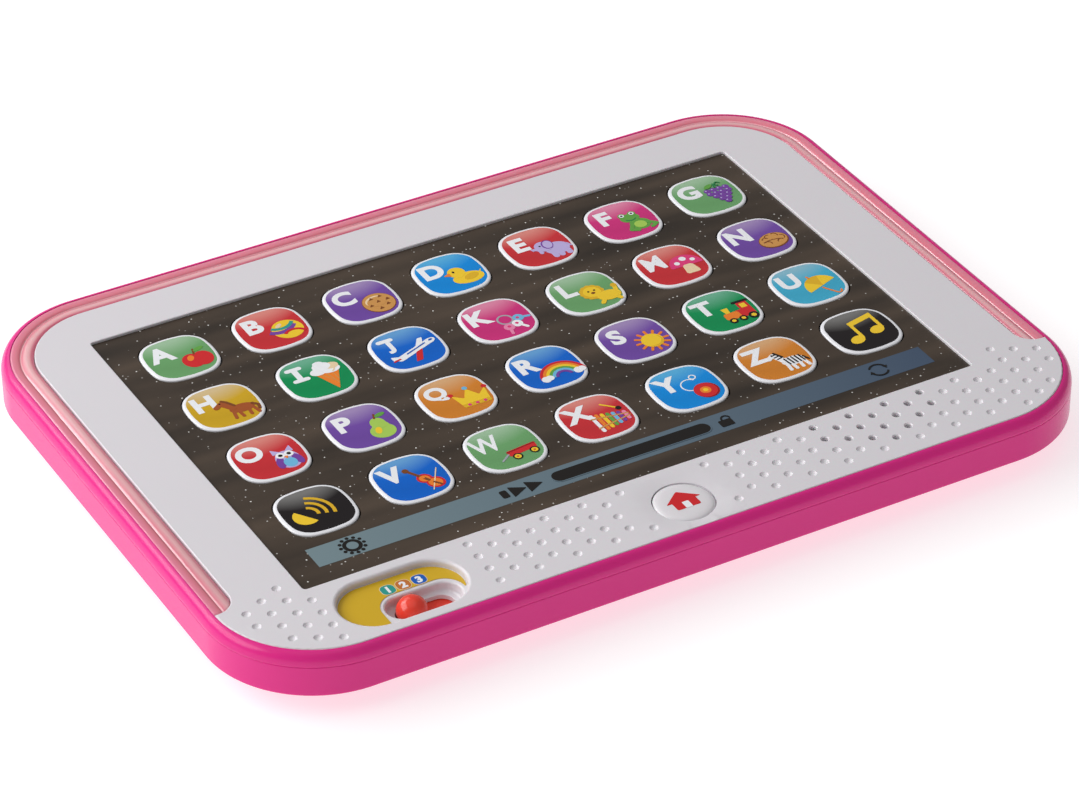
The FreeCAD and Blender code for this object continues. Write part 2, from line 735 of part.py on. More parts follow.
def power_well(body):
    """The sunken well and slot of the power switch, in the back."""
    block = new_sketch(body, "skin / 2")
    pill(block, "power_well_half + tray_wall", "power_well_radius + tray_wall", "power_x", "power_y")
    pad(body, block, "power_floor - skin / 2")
    well = new_sketch(body, "0")
    pill(well, "power_well_half", "power_well_radius", "power_x", "power_y")
    pocket(body, well, "power_well_deep", upward=True)
    slot = new_sketch(body, "0")
    reach = "power_stem_reach + power_air"
    pill(slot, reach, "power_stem + power_air", "power_x", "power_y")
    pocket(body, slot, "power_floor + skin", upward=True)


def make_rear_cover():
    body = new_body("rear_cover")
    rear_shell(body)
    rear_posts(body)
    battery_bay(body)
    power_well(body)
    return body


def ring(body, z, outer, inner, height):
    """An upright band between two insets of the tablet's outline."""
    sketch = new_sketch(body, z)
    inset_outline(sketch, outer)
    inset_outline(sketch, inner)
    pad(body, sketch, height)


def make_front_rim():
    """The pink rim: its rounded shoulder, the skirt inside the rear cover's lip and the ledge."""
    body = new_body("front_rim")
    crown = new_sketch(body, "seam")
    inset_outline(crown, "0")
    pad(body, crown, "rim_top - seam")
    fillet(body, level_at("rim_top"), "rim_round")
    fillet(body, level_at("seam"), "seam_round")
    opening = new_sketch(body, "rim_top")
    inset_outline(opening, "rim_inset")
    pocket(body, opening, "rim_top - seam")
    ring(body, "ledge_bottom", "rim_skirt", "rim_inset", "seam - ledge_bottom")
    ring(body, "ledge_bottom", "rim_skirt", "rim_ledge", "ledge_thick")
    return body


# ---- faceplate ----------------------------------------------------------------------------------

# Rows of dimples in each column, from the home button outwards; row 0 lies nearest the screen.
EVEN, ODD = (0, 1, 2, 3), (0.5, 1.5, 2.5)
DIMPLE_ROWS = [(0, 3), *[ODD, EVEN] * 8, (-1.5, -0.5, 0.5, 1.5, 2.5), (-1, 0, 1, 2), (-0.5, 0.5)]
BARE_COLUMNS = range(9, 16)
OUTER_COLUMNS = range(16, 20)
# The last row that is a speaker hole, in each such column on the right.
SOUND_ROWS = {6: 1, 7: 1.5, 8: 2, 9: 2.5, 10: 2, 11: 1.5, 12: 1}


def plate_blank(body):
    """The white plate with its skirt, cut in at the light bar, and the screen's window."""
    top = new_sketch(body, "plate_bottom")
    inset_outline(top, "bar_outer")
    pad(body, top, "plate_skin")
    ring(body, "ledge_top", "bar_outer", "bar_outer + skirt", "plate_bottom - ledge_top")
    sides = new_sketch(body, "plate_top")
    arch_outline(sides, "bar_inset", "back_taper")
    pocket(body, sides, "plate_top - ledge_top")
    window = new_sketch(body, "plate_top")
    window_outline(window, "0", "window_round")
    pocket(body, window, "plate_skin")
    rebate = new_sketch(body, "film_top")
    window_outline(rebate, "film_lap + seat_gap", "window_round")
    pocket(body, rebate, "film_top - plate_bottom")
    hole = new_sketch(body, "plate_top")
    circle(hole, "home_radius + home_gap", "home_x", "home_y")
    pocket(body, hole, "plate_skin")
    fillet(body, level_at("plate_top"), "plate_round")


def recess_box(half="recess_half", radius="recess_radius", x="recess_x", y="recess_y"):
    """A box just round the stage recess, or round another pill, as (x0, y0, x1, y1)."""
    spare = size("seat_gap")
    reach, wide, x, y = size(half) + spare, size(radius) + spare, size(x), size(y)
    return x - reach, y - wide, x + reach, y + wide


def stage_tray(body):
    """The sunken tray of the stage switch, the bowl in it and the slot in the bowl's floor."""
    tray = new_sketch(body, "recess_floor - tray_wall")
    grown = ("recess_half + tray_wall", "recess_radius + tray_wall")
    pill(tray, *grown, "recess_x", "recess_y")
    pad(body, tray, "plate_bottom - recess_floor + tray_wall")
    bowl = new_sketch(body, "bowl_under")
    pill(bowl, "bowl_half + tray_wall", "bowl_radius + tray_wall", "bowl_x", "bowl_y")
    pad(body, bowl, "recess_floor - bowl_under")
    recess = new_sketch(body, "plate_top")
    pill(recess, "recess_half", "recess_radius", "recess_x", "recess_y")
    pocket(body, recess, "recess_deep")
    fillet(body, level_at("plate_top", recess_box()), "recess_round")
    hollow = new_sketch(body, "plate_top")
    pill(hollow, "bowl_half", "bowl_radius", "bowl_x", "bowl_y")
    pocket(body, hollow, "bowl_deep")
    fillet(body, level_at("bowl_floor"), "bowl_round")
    round_the_bowl = recess_box("bowl_half", "bowl_radius", "bowl_x", "bowl_y")
    fillet(body, level_at("recess_floor", round_the_bowl), "lip_round")
    slot = new_sketch(body, "plate_top")
    pill(slot, "slot_reach", "slot_radius", "slot_x", "bowl_y")
    pocket(body, slot, "plate_top - bowl_under")


def plate_posts(body):
    posts = new_sketch(body, "post_join")
    circles(posts, "post", HOUSING_SCREWS)
    pad(body, posts, "plate_bottom - post_join")
    pilots = new_sketch(body, "post_join")
    circles(pilots, "pilot", HOUSING_SCREWS)
    pocket(body, pilots, "screw_grip", upward=True)


def plate_dents():
    """What the plate loses: dimples, speaker holes, the home button's dish and room for its flange."""
    deep, reach = size("dimple_deep"), size("dimple_radius")
    ball = (reach * reach + deep * deep) / (2 * deep)
    top, skin = size("plate_top"), size("plate_skin")
    tools = []
    for x, y, sounding in dimple_places():
        tools.append(Part.makeSphere(ball, V(x, y, top + ball - deep)))
        if sounding:
            tools.append(Part.makeCylinder(size("sound_hole"), 2 * skin, V(x, y, top - 2 * deep - skin)))
    dish, sunk = size("home_dish"), size("home_dish_deep")
    wide = (dish * dish + sunk * sunk) / (2 * sunk)
    tools.append(Part.makeSphere(wide, V(size("home_x"), size("home_y"), top + wide - sunk)))
    flange = size("home_radius") + size("home_flange") + size("home_flange_gap")
    foot = size("ledge_top")
    room = Part.makeCylinder(flange, size("plate_bottom") - foot, V(size("home_x"), size("home_y"), foot))
    tools.append(room)
    return feature("faceplate_dents", Part.makeCompound(tools))


def dimple_places():
    """(x, y, speaker hole?) of each dimple: staggered columns that mirror on the home button."""
    step, rise, middle = size("dimple_step_x"), size("dimple_step_y"), size("home_x")
    for side in (-1, 1):
        for column, rows in enumerate(DIMPLE_ROWS):
            if side < 0 and column in BARE_COLUMNS:
                continue
            x = middle + side * (size("dimple_x") + step * column)
            drop = size("dimple_side_drop") if column in OUTER_COLUMNS else 0.0
            for row in rows:
                y = size("dimple_y") - rise * row - drop
                yield x, y, side > 0 and row <= SOUND_ROWS.get(column, -2)


def make_faceplate():
    body = new_body("faceplate_blank")
    plate_blank(body)
    stage_tray(body)
    plate_posts(body)
    return cut("faceplate", body, plate_dents())


# ---- light bar ----------------------------------------------------------------------------------

SIDE_LEDS, BACK_LEDS = 4, 6


def trim_outside(body, z, length):
    """Take away what lies beyond the rim's inner edge."""
    sketch = new_sketch(body, z)
    inset_outline(sketch, "bar_outer")
    beyond_x, beyond_y = "half_w + back_taper * 2", "half_d + back_taper * 2"
    box_outline(sketch, f"-({beyond_x})", beyond_x, f"-({beyond_y})", beyond_y)
    pocket(body, sketch, length)


def make_light_bar():
    """The clear pink bar that runs up the left side, along the back and down the right side."""
    body = new_body("light_bar")
    strip = new_sketch(body, "bar_bottom")
    arch_outline(strip, "bar_inset - seat_gap", "back_taper", "seat_gap")
    pad(body, strip, "bar_thick")
    trim_outside(body, "bar_top", "bar_thick")
    sides = new_sketch(body, "bar_top")
    arch_outline(sides, "bar_inset - bar_ridge", "back_taper", "seat_gap")
    pocket(body, sides, "bar_drop")
    return body


def led_places():
    """Middle of each LED under the light bar, and whether it stands along a side."""
    side = "half_w - (bar_inset + bar_outer) / 2"
    back = "half_d - (bar_inset + bar_outer) / 2"
    for sign in (-1, 1):
        for step in range(SIDE_LEDS):
            yield f"{sign} * ({side})", f"led_first - bar_end + {step} * led_step", True
    for step in range(BACK_LEDS):
        yield f"({step - (BACK_LEDS - 1) / 2}) * led_back_step", back, False


def make_reflector():
    """The white channel under the light bar, with a pocket for each LED."""
    body = new_body("light_bar_reflector")
    strip = new_sketch(body, "ledge_top")
    arch_outline(strip, "bar_inset - seat_gap", "back_taper", "seat_gap")
    pad(body, strip, "bar_bottom - ledge_top")
    trim_outside(body, "bar_bottom", "bar_bottom - ledge_top")
    pockets = new_sketch(body, "bar_bottom")
    for x, y, upright in led_places():
        along, across = ("led_width", "led_length") if upright else ("led_length", "led_width")
        box_outline(
            pockets,
            f"{x} - ({along}) / 2 - led_air",
            f"{x} + ({along}) / 2 + led_air",
            f"{y} - ({across}) / 2 - led_air",
            f"{y} + ({across}) / 2 + led_air",
        )
    pocket(body, pockets, "led_height + led_air")
    return body


def make_leds():
    leds = []
    for x, y, upright in led_places():
        along, across = ("led_width", "led_length") if upright else ("led_length", "led_width")
        leds.append(box("led", along, across, "led_height", x, y, "bar_bottom - led_height - led_air"))
    return group("light_bar_leds", leds)


# ---- screen and keys ----------------------------------------------------------------------------


def key_place(index):
    """Middle of a key, counted along the rows from the far left one."""
    row, column = divmod(index, COLUMNS)
    return f"key_grid_x + ({column - 3}) * key_pitch_x", f"key_grid_y + ({1.5 - row}) * key_pitch_y"


def key_outline(sketch, grow, x="0", y="0"):
    squircle(sketch, f"key_half + {grow}", f"key_side_radius + {grow}", f"key_corner + {grow}", x, y)


def make_screen_film():
    """The printed film, with a hole for each key."""
    body = new_body("screen_film")
    sheet_of_film = new_sketch(body, "film_bottom")
    window_outline(sheet_of_film, "film_lap", "window_round")
    pad(body, sheet_of_film, "film_thick")
    for row in range(ROWS):
        hole = new_sketch(body, "film_top")
        key_outline(hole, "key_gap", *key_place(row * COLUMNS))
        first = pocket(body, hole, "film_thick")
        along = body.newObject("PartDesign::LinearPattern", "film_row")
        along.Originals = [first]
        along.Direction = (hole, ["H_Axis"])
        along.Occurrences = COLUMNS
        bind(along, Length=f"key_pitch_x * {COLUMNS - 1}")
        body.Tip = along
        doc.recompute()
    return body


def make_key(index, name):
    """One picture key: a crowned cap, held under the film by its flange."""
    body = new_body(name)
    cap = new_sketch(body)
    key_outline(cap, "0")
    pad(body, cap, "key_top - key_bottom")
    fillet(body, level_at("key_top - key_bottom"), "key_round")
    flange = new_sketch(body)
    key_outline(flange, "key_flange")
    pad(body, flange, "key_flange_thick")
    place(body, *key_place(index), "key_bottom")
    return body


def slab(name, half_x, half_y, x, y, z, thick, radius, holes=(), hole_radius="pilot"):
    """A flat sheet with rounded corners and round holes."""
    body = new_body(name)
    sketch = new_sketch(body, z)
    box_outline(
        sketch, f"{x} - ({half_x})", f"{x} + {half_x}", f"{y} - ({half_y})", f"{y} + {half_y}", radius
    )
    circles(sketch, hole_radius, holes)
    pad(body, sketch, thick)
    return body


def make_key_bed():
    """The silicone mat, the switch membrane and the main board, under the keys."""
    bed = ("mat_half_x", "mat_half_y", "key_grid_x", "key_grid_y")
    mat = slab("keypad_mat", *bed, "mat_bottom", "mat_thick", "key_corner")
    membrane = slab("key_membrane", *bed, "board_top", "membrane_thick", "key_corner")
    board = slab(
        "main_board",
        "board_width / 2",
        "board_depth / 2",
        "0",
        "board_y",
        "board_bottom",
        "board_thick",
        "window_round",
        BOARD_SCREWS,
        "pilot + seat_gap",
    )
    chip = box(
        "main_chip", "chip_side", "chip_side", "chip_thick", "chip_x", "chip_y", "board_bottom - chip_thick"
    )
    return [mat, membrane, board, chip]


# ---- home button and stage switch ---------------------------------------------------------------


def make_home_button():
    """The round button: a crowned cap with a flange under the plate and a stem to its switch."""
    body = new_body("home_button")
    stem_top = "home_flange_top - 1"
    sketch = profile(
        body,
        [
            ("0", "home_bottom"),
            ("tact_plunger", "home_bottom"),
            ("tact_plunger", stem_top),
            ("home_radius + home_flange", stem_top),
            ("home_radius + home_flange", "home_flange_top"),
            ("home_radius", "home_flange_top"),
            ("home_radius", "home_top"),
            ("0", "home_top"),
        ],
    )
    revolve(body, sketch)
    fillet(body, level_at("home_top"), "home_round")
    place(body, "home_x", "home_y")
    return body


def make_strip_board():
    """The board under the front strip, with the home switch and the stage switch on it."""
    middle_x = "(strip_board_left + strip_board_right) / 2"
    middle_y = "(strip_board_front + strip_board_back) / 2"
    board = slab(
        "control_board",
        "(strip_board_right - strip_board_left) / 2",
        "(strip_board_back - strip_board_front) / 2",
        middle_x,
        middle_y,
        "strip_board_bottom",
        "strip_board_thick",
        "window_round",
    )
    case = box(
        "tact_case", "tact_side", "tact_side", "tact_height", "home_x", "home_y", "strip_board_top"
    )
    plunger = cylinder(
        "tact_top",
        "tact_plunger",
        "tact_plunger_height",
        "home_x",
        "home_y",
        "strip_board_top + tact_height",
    )
    home_switch = fused("home_switch", case, plunger)
    return [board, home_switch]


def make_stage_switch():
    """The stage switch's case, with the groove that the slider's peg runs in."""
    body = new_body("stage_switch_body")
    case = new_sketch(body, "strip_board_top")
    half = "slot_reach + tray_wall"
    box_outline(
        case,
        f"slot_x - ({half})",
        f"slot_x + {half}",
        "bowl_y - slot_radius",
        "bowl_y + slot_radius",
        "window_round",
    )
    pad(body, case, "stage_switch_height")
    groove = new_sketch(body, "stage_switch_top")
    reach = "stage_travel / 2 + stage_peg + slide_air"
    pill(groove, reach, "stage_peg + slide_air", "slot_x", "bowl_y")
    pocket(body, groove, "stage_switch_height * 2 / 3")
    return body


def make_stage_slider():
    """The red slider: a plate under the bowl, a neck through the slot and a ball to push."""
    body = new_body("stage_slider")
    plate = new_sketch(body, "slider_bottom")
    pill(plate, "slider_half", "slider_radius", "0", "0")
    pad(body, plate, "slider_thick")
    neck = new_sketch(body, "slider_top")
    circle(neck, "knob_neck")
    pad(body, neck, "knob_z - slider_top")
    peg = new_sketch(body, "stage_switch_top - stage_switch_height / 3")
    circle(peg, "stage_peg")
    pad(body, peg, "slider_bottom - stage_switch_top + stage_switch_height / 3")
    ball_cut = "bowl_floor + slide_air - knob_z"
    ball = body.newObject("PartDesign::AdditiveSphere", "knob_ball")
    ball.AttachmentSupport = [(origin_plane(body, "XY_Plane"), "")]
    ball.MapMode = "FlatFace"
    bind(
        ball,
        Radius="knob_radius",
        Angle1=f"asin(({ball_cut}) / knob_radius)",
        AttachmentOffset__Base__z="knob_z",
    )
    doc.recompute()
    place(body, "knob_x", "bowl_y")
    return body


def make_stage_label():
    """The yellow label on the recess's floor, cut away round the bowl and in front of it."""
    body = new_body("stage_label")
    sheet_of_label = new_sketch(body, "recess_floor")
    pill(
        sheet_of_label, "recess_half - label_margin", "recess_radius - label_margin", "recess_x", "recess_y"
    )
    pad(body, sheet_of_label, "label_thick")
    bowl = new_sketch(body, "recess_floor + label_thick")
    reach, wide = "bowl_half + label_bowl_margin", "bowl_radius + label_bowl_margin"
    pill(bowl, reach, wide, "bowl_x", "bowl_y")
    pocket(body, bowl, "label_thick")
    front = new_sketch(body, "recess_floor + label_thick")
    box_outline(
        front, f"bowl_x - ({reach})", "recess_x + recess_half", "bowl_y - recess_radius * 2", "bowl_y"
    )
    pocket(body, front, "label_thick")
    return body


# ---- speaker ------------------------------------------------------------------------------------


def make_speaker():
    """The small round speaker: its frame with the magnet, its cone, and the foam ring above it."""
    frame = new_body("speaker_frame")
    floor = "speaker_bottom + basket_high"
    sketch = profile(
        frame,
        [
            ("0", "speaker_bottom"),
            ("magnet_radius", "speaker_bottom"),
            ("magnet_radius", "speaker_bottom + magnet_deep"),
            ("speaker_radius - frame_flange", "speaker_top - frame_flange"),
            ("speaker_radius", "speaker_top - frame_flange"),
            ("speaker_radius", "speaker_top"),
            ("speaker_radius - frame_rim", "speaker_top"),
            ("basket_radius", floor),
            ("0", floor),
        ],
    )
    revolve(frame, sketch)
    place(frame, "speaker_x", "speaker_y")
    cone = new_body("speaker_cone")
    low = f"{floor} + seat_gap"
    sketch = profile(
        cone,
        [
            ("0", low),
            ("cone_foot", low),
            ("cone_wide", "speaker_top - cone_sunk"),
            ("cone_wide - cone_thick * 2", "speaker_top - cone_sunk"),
            ("cone_foot", f"{low} + cone_thick"),
            ("0", f"{low} + cone_thick * 2"),
        ],
    )
    revolve(cone, sketch)
    place(cone, "speaker_x", "speaker_y")
    spot = ("speaker_x", "speaker_y", "speaker_top")
    outer = cylinder("foam_outer", "speaker_radius", "gasket_thick", *spot)
    inner = cylinder("foam_inner", "speaker_radius - gasket_wide", "gasket_thick", *spot)
    return [frame, cone, cut("speaker_gasket", outer, inner)]


# ---- batteries and power ------------------------------------------------------------------------


def cell_rows():
    """Each cell's y and the way its nub points."""
    for row in range(3):
        yield f"bay_y + ({row - 1}) * (2 * cell_radius + cell_gap)", 1 if row % 2 == 0 else -1


def make_cells():
    """Three AAA cells, the middle one turned round."""
    cells = []
    for y, way in cell_rows():
        start = f"bay_x - ({way}) * nub_length / 2 - cell_length / 2"
        can = cylinder("cell_can", "cell_radius", "cell_length", start, y, "cell_z", along_x=True)
        tip = f"{start} + cell_length" if way > 0 else f"{start} - nub_length"
        nub = cylinder("cell_nub", "nub_radius", "nub_length", tip, y, "cell_z", along_x=True)
        cells.append(fused("cell", can, nub))
    return group("aaa_cells", cells)


def make_contacts():
    """Springs at the flat ends, plates at the nubs and behind the springs."""
    springs, plates = [], []
    thick, side = "contact_thick", "cell_radius * 1.5"
    for y, way in cell_rows():
        for end in (-1, 1):
            middle = f"bay_x + ({end}) * (bay_half_x - seat_gap - {thick} / 2)"
            plates.append(box("contact", thick, side, side, middle, y, f"cell_z - ({side}) / 2"))
        springs.append(spring(size(y), -way))
    return [group("contact_plates", plates), group("contact_springs", springs)]


def spring(y, end):
    """A short coil between a plate and the flat end of a cell."""
    wire, coil, free = size("spring_wire"), size("spring_coil"), size("seat_gap")
    inner = size("bay_half_x - seat_gap - contact_thick") - wire - free
    flat = size("cell_length / 2 + nub_length / 2") + wire + free
    helix = Part.makeHelix((inner - flat) / size("spring_turns"), inner - flat, coil)
    section = Part.Wire(Part.Circle(V(coil, 0, 0), V(0, 1, 0), wire).toShape())
    coil_solid = helix.makePipeShell([section], True, True)
    turn = FreeCAD.Rotation(V(0, 1, 0), 90 * end)
    coil_solid.Placement = FreeCAD.Placement(V(size("bay_x") + end * flat, y, size("cell_z")), turn)
    return feature("contact_spring", coil_solid)


def make_battery_door():
    """The battery door, with an ear for its screw and a thumb groove."""
    body = new_body("battery_door")
    for draw in (door_outline, ear_outline):
        sketch = new_sketch(body, "0")
        draw(sketch, "0")
        pad(body, sketch, "door_thick - seat_gap")
    fillet(body, level_at("0"), "door_gap")
    seat = new_sketch(body, "0")
    circle(seat, "screw_head + seat_gap * 2", "bay_x", "door_screw_y")
    pocket(body, seat, "door_thick / 2", upward=True)
    hole = new_sketch(body, "0")
    circle(hole, "pilot + seat_gap", "bay_x", "door_screw_y")
    pocket(body, hole, "door_thick", upward=True)
    groove = new_sketch(body, "0")
    pill(groove, "door_ear * 1.6", "door_thick", "bay_x", "bay_y - door_half_y + door_ear")
    pocket(body, groove, "door_thick / 3", upward=True)
    return body


def screw(name, x, y, seat, grip, head_thick="screw_head_thick"):
    """A cross-head screw that points up: its head below the seat, its shank above."""
    head = cylinder(f"{name}_head", "screw_head", head_thick, x, y, f"{seat} - ({head_thick})")
    shank = cylinder(f"{name}_shank", "screw_shank", grip, x, y, seat)
    low = f"{seat} - ({head_thick})"
    slots = [
        box(f"{name}_slot", length, width, f"({head_thick}) / 2", x, y, low)
        for length, width in (("screw_cross", "screw_cross_wide"), ("screw_cross_wide", "screw_cross"))
    ]
    return cut(name, fused(f"{name}_blank", head, shank), fused(f"{name}_cross", *slots))


def make_screws():
    """Housing screws from below, board screws from above, and the door's captive screw."""
    seat = "screw_head_thick * 2"
    housing = [
        screw(f"housing_screw_{i}", x, y, seat, "post_join - screw_head_thick * 2 + screw_grip - 1")
        for i, (x, y) in enumerate(HOUSING_SCREWS)
    ]
    board = []
    for i, (x, y) in enumerate(BOARD_SCREWS):
        name, grip = f"board_screw_{i}", "board_bottom / 2"
        head = cylinder(f"{name}_head", "screw_head", "screw_head_thick / 2", x, y, "board_top")
        shank = cylinder(f"{name}_shank", "screw_shank", grip, x, y, f"board_top - {grip}")
        board.append(fused(name, head, shank))
    seat, grip = "door_thick / 2", "door_thick * 3"
    door = screw("battery_door_screw", "bay_x", "door_screw_y", seat, grip, f"{seat} - seat_gap")
    return [group("housing_screws", housing), group("board_screws", board), door]


def make_power_switch():
    """The power switch: a knob in the well, its stem through the slot, and the switch above it."""
    knob = new_body("power_switch_knob")
    cap = new_sketch(knob, "power_air")
    pill(cap, "power_knob_half", "power_well_radius - power_air * 4")
    pad(knob, cap, "power_well_deep - power_air * 2")
    stem = new_sketch(knob, "power_well_deep - power_air")
    circle(stem, "power_stem")
    pad(knob, stem, "power_floor - power_well_deep + skin")
    place(knob, "power_x - power_travel / 2", "power_y")
    body = new_body("power_switch_body")
    case = new_sketch(body, "power_floor + power_air")
    half = "power_well_half + tray_wall"
    wide = "power_well_radius"
    box_outline(
        case, f"power_x - ({half})", f"power_x + {half}", f"power_y - {wide}", f"power_y + {wide}"
    )
    pad(body, case, "skin * 2")
    groove = new_sketch(body, "power_floor + power_air")
    pill(groove, "power_stem_reach + power_air", "power_stem + power_air", "power_x", "power_y")
    pocket(body, groove, "skin + power_air", upward=True)
    return [knob, body]


# ---- wires --------------------------------------------------------------------------------------


def wire(points, bend):
    """A round wire along straight runs joined by tangent arcs."""
    spots = [V(*point) for point in points]
    edges, start = [], spots[0]
    for before, here, after in zip(spots, spots[1:], spots[2:]):
        back, ahead = (before - here).normalize(), (after - here).normalize()
        turn = pi - back.getAngle(ahead)
        reach = bend * abs(sin(turn / 2) / cos(turn / 2))
        arrive, leave = here + back * reach, here + ahead * reach
        middle = here + (back + ahead).normalize() * (bend / cos(turn / 2) - bend)
        edges.append(Part.LineSegment(start, arrive).toShape())
        edges.append(Part.Arc(arrive, middle, leave).toShape())
        start = leave
    edges.append(Part.LineSegment(start, spots[-1]).toShape())
    path = Part.Wire(edges)
    way = spots[1] - spots[0]
    section = Part.Wire(Part.Circle(spots[0], way, size("wire_radius")).toShape())
    return path.makePipeShell([section], True, False)


def wire_pair(name, points, apart):
    """Two wires side by side, apart by a vector."""
    twin = [tuple(V(*point) + V(*apart)) for point in points]
    bend = 4 * size("wire_radius")
    pieces = [feature(f"{name}_{i}", wire(route, bend)) for i, route in enumerate((points, twin))]
    return group(name, pieces)


def make_wires():
    """Battery leads to the power switch and speaker leads to the control board."""
    gap, free = 3 * size("wire_radius"), size("seat_gap")
    return [
        wire_pair("battery_wires", battery_route(free), (0, 0, -gap)),
        wire_pair("speaker_wires", speaker_route(free), (0, 0, -gap)),
    ]


def battery_route(free):
    """From the wall of the battery bay to the end of the power switch."""
    start = size("bay_x - bay_half_x - bay_wall - door_ledge") - free
    end = size("power_x + power_well_half + tray_wall") + free
    z = size("power_floor + power_air + skin * 2 - wire_radius * 2")
    near, far = size("power_y"), size("bay_y - lead_jog")
    middle = (start + end) / 2
    return [(start, far, z), (middle, far, z), (middle, near, z), (end, near, z)]


def speaker_route(free):
    """From the speaker's magnet to the end of the control board, with a loop to spare."""
    start, end = size("speaker_x - magnet_radius") - free, size("strip_board_right") + free
    z, row = size("strip_board_bottom + strip_board_thick / 2"), size("speaker_y + wire_radius * 3")
    jog, run = size("speaker_lead_jog"), size("speaker_lead_run")
    turn, back = (start + end) / 2 + run, end + run
    far = row + jog
    return [(start, row, z), (turn, row, z), (turn, far, z), (back, far, z), (back, row, z), (end, row, z)]


# ---- build and write ----------------------------------------------------------------------------


def build():
    pieces = [make_rear_cover(), make_front_rim(), make_faceplate()]
    pieces += [make_light_bar(), make_reflector(), make_leds()]
    pieces += [make_screen_film()]
    pieces += [make_key(index, name) for index, name in enumerate(KEYS)]
    pieces += make_key_bed()
    pieces += [make_home_button(), *make_strip_board()]
    pieces += [make_stage_switch(), make_stage_slider(), make_stage_label()]
    pieces += make_speaker()
    pieces += [make_cells(), *make_contacts(), make_battery_door(), *make_screws()]
    pieces += make_power_switch()
    pieces += make_wires()
    return pieces


def check_and_write(pieces):
    """Stop at any failed feature or bad shape, then write one STEP file for each piece."""
    doc.recompute()
    failed = [o.Name for o in doc.Objects if {"Invalid", "Error"} & set(o.State)]
    bad = [p.Label for p in pieces if p.Shape.isNull() or not p.Shape.isValid() or not p.Shape.Solids]
    if failed or bad:
        raise RuntimeError(f"failed features {failed}, bad shapes {bad}")
    os.makedirs("parts", exist_ok=True)
    for piece in pieces:
        piece.Shape.exportStep(f"parts/{piece.Label}.step")
    print(f"{len(pieces)} pieces")


check_and_write(build())
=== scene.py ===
import json
from math import cos, pi, radians, sin, sqrt

import bmesh
import bpy
from mathutils import Matrix, Vector

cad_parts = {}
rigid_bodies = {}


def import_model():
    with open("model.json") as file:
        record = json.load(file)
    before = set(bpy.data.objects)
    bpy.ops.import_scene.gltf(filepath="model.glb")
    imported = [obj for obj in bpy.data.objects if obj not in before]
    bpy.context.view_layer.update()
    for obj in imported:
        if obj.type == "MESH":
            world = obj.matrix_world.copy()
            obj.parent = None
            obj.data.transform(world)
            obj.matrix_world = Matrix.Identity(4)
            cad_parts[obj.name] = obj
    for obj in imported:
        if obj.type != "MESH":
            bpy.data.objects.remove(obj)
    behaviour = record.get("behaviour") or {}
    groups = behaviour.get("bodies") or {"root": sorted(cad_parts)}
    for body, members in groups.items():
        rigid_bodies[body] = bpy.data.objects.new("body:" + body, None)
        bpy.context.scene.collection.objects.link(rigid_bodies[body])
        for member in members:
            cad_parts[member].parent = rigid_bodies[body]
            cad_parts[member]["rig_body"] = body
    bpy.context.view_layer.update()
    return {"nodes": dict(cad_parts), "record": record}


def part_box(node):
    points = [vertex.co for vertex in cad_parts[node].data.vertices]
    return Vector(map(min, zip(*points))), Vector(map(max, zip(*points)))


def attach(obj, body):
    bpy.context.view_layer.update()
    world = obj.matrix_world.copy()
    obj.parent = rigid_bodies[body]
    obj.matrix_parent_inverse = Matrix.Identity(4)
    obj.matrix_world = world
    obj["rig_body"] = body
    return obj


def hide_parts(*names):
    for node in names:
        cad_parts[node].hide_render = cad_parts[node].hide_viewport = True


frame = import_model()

scene = bpy.context.scene
scene.view_settings.view_transform = "Standard"
MM = 0.001

# ---- Rear cover ---------------------------------------------------------------------------------
# The pink pan that makes the back and the upright wall. Injection-moulded ABS, satin-bright, with
# a skin that is very slightly clouded. Its lip laps the rim above it; screws from below close it.

HOUSING_PINK = (0.760, 0.022, 0.245)
GLOW_REACH = (0.0015, 0.0007, 0.0010)


def new_material(name):
    """An empty node material and its shader."""
    material = bpy.data.materials.new(name)
    material.use_nodes = True
    return material, material.node_tree.nodes["Principled BSDF"]


def put(node, **values):
    """Set the sockets of a node by name, with _ for a space."""
    for key, value in values.items():
        node.inputs[key.replace("_", " ")].default_value = value


def add_node(material, kind, **values):
    """One node of a material; keyword names with a capital are sockets, the others are settings."""
    node = material.node_tree.nodes.new(kind)
    for key, value in values.items():
        if key[0].isupper():
            put(node, **{key: value})
        else:
            setattr(node, key, value)
    return node


def join(material, source, target):
    """A link between two sockets."""
    material.node_tree.links.new(source, target)


def shade(colour, factor):
    """A lighter or darker opaque shade of a colour."""
    return tuple(min(1.0, c * factor) for c in colour[:3]) + (1.0,)


def noise(material, scale, detail=2.0, where="Object"):
    """Noise at a scale per metre over the piece's own coordinates."""
    place = add_node(material, "ShaderNodeTexCoord")
    texture = add_node(material, "ShaderNodeTexNoise", Scale=scale, Detail=detail)
    join(material, place.outputs[where], texture.inputs["Vector"])
    return texture.outputs["Fac"]


def between(material, factor, low, high):
    """A mix of two colours by a factor."""
    mix = add_node(material, "ShaderNodeMix", data_type="RGBA")
    mix.inputs[6].default_value = low
    mix.inputs[7].default_value = high
    join(material, factor, mix.inputs[0])
    return mix.outputs[2]


def spread(material, factor, low, high):
    """A factor spread over a range of numbers."""
    span = add_node(material, "ShaderNodeMapRange", To_Min=low, To_Max=high)
    join(material, factor, span.inputs["Value"])
    return span.outputs["Result"]


def bumped(material, shader, height, distance, strength=1.0):
    """A bump of a real height, in metres."""
    bump = add_node(material, "ShaderNodeBump", Distance=distance, Strength=strength)
    join(material, height, bump.inputs["Height"])
    join(material, bump.outputs["Normal"], shader.inputs["Normal"])


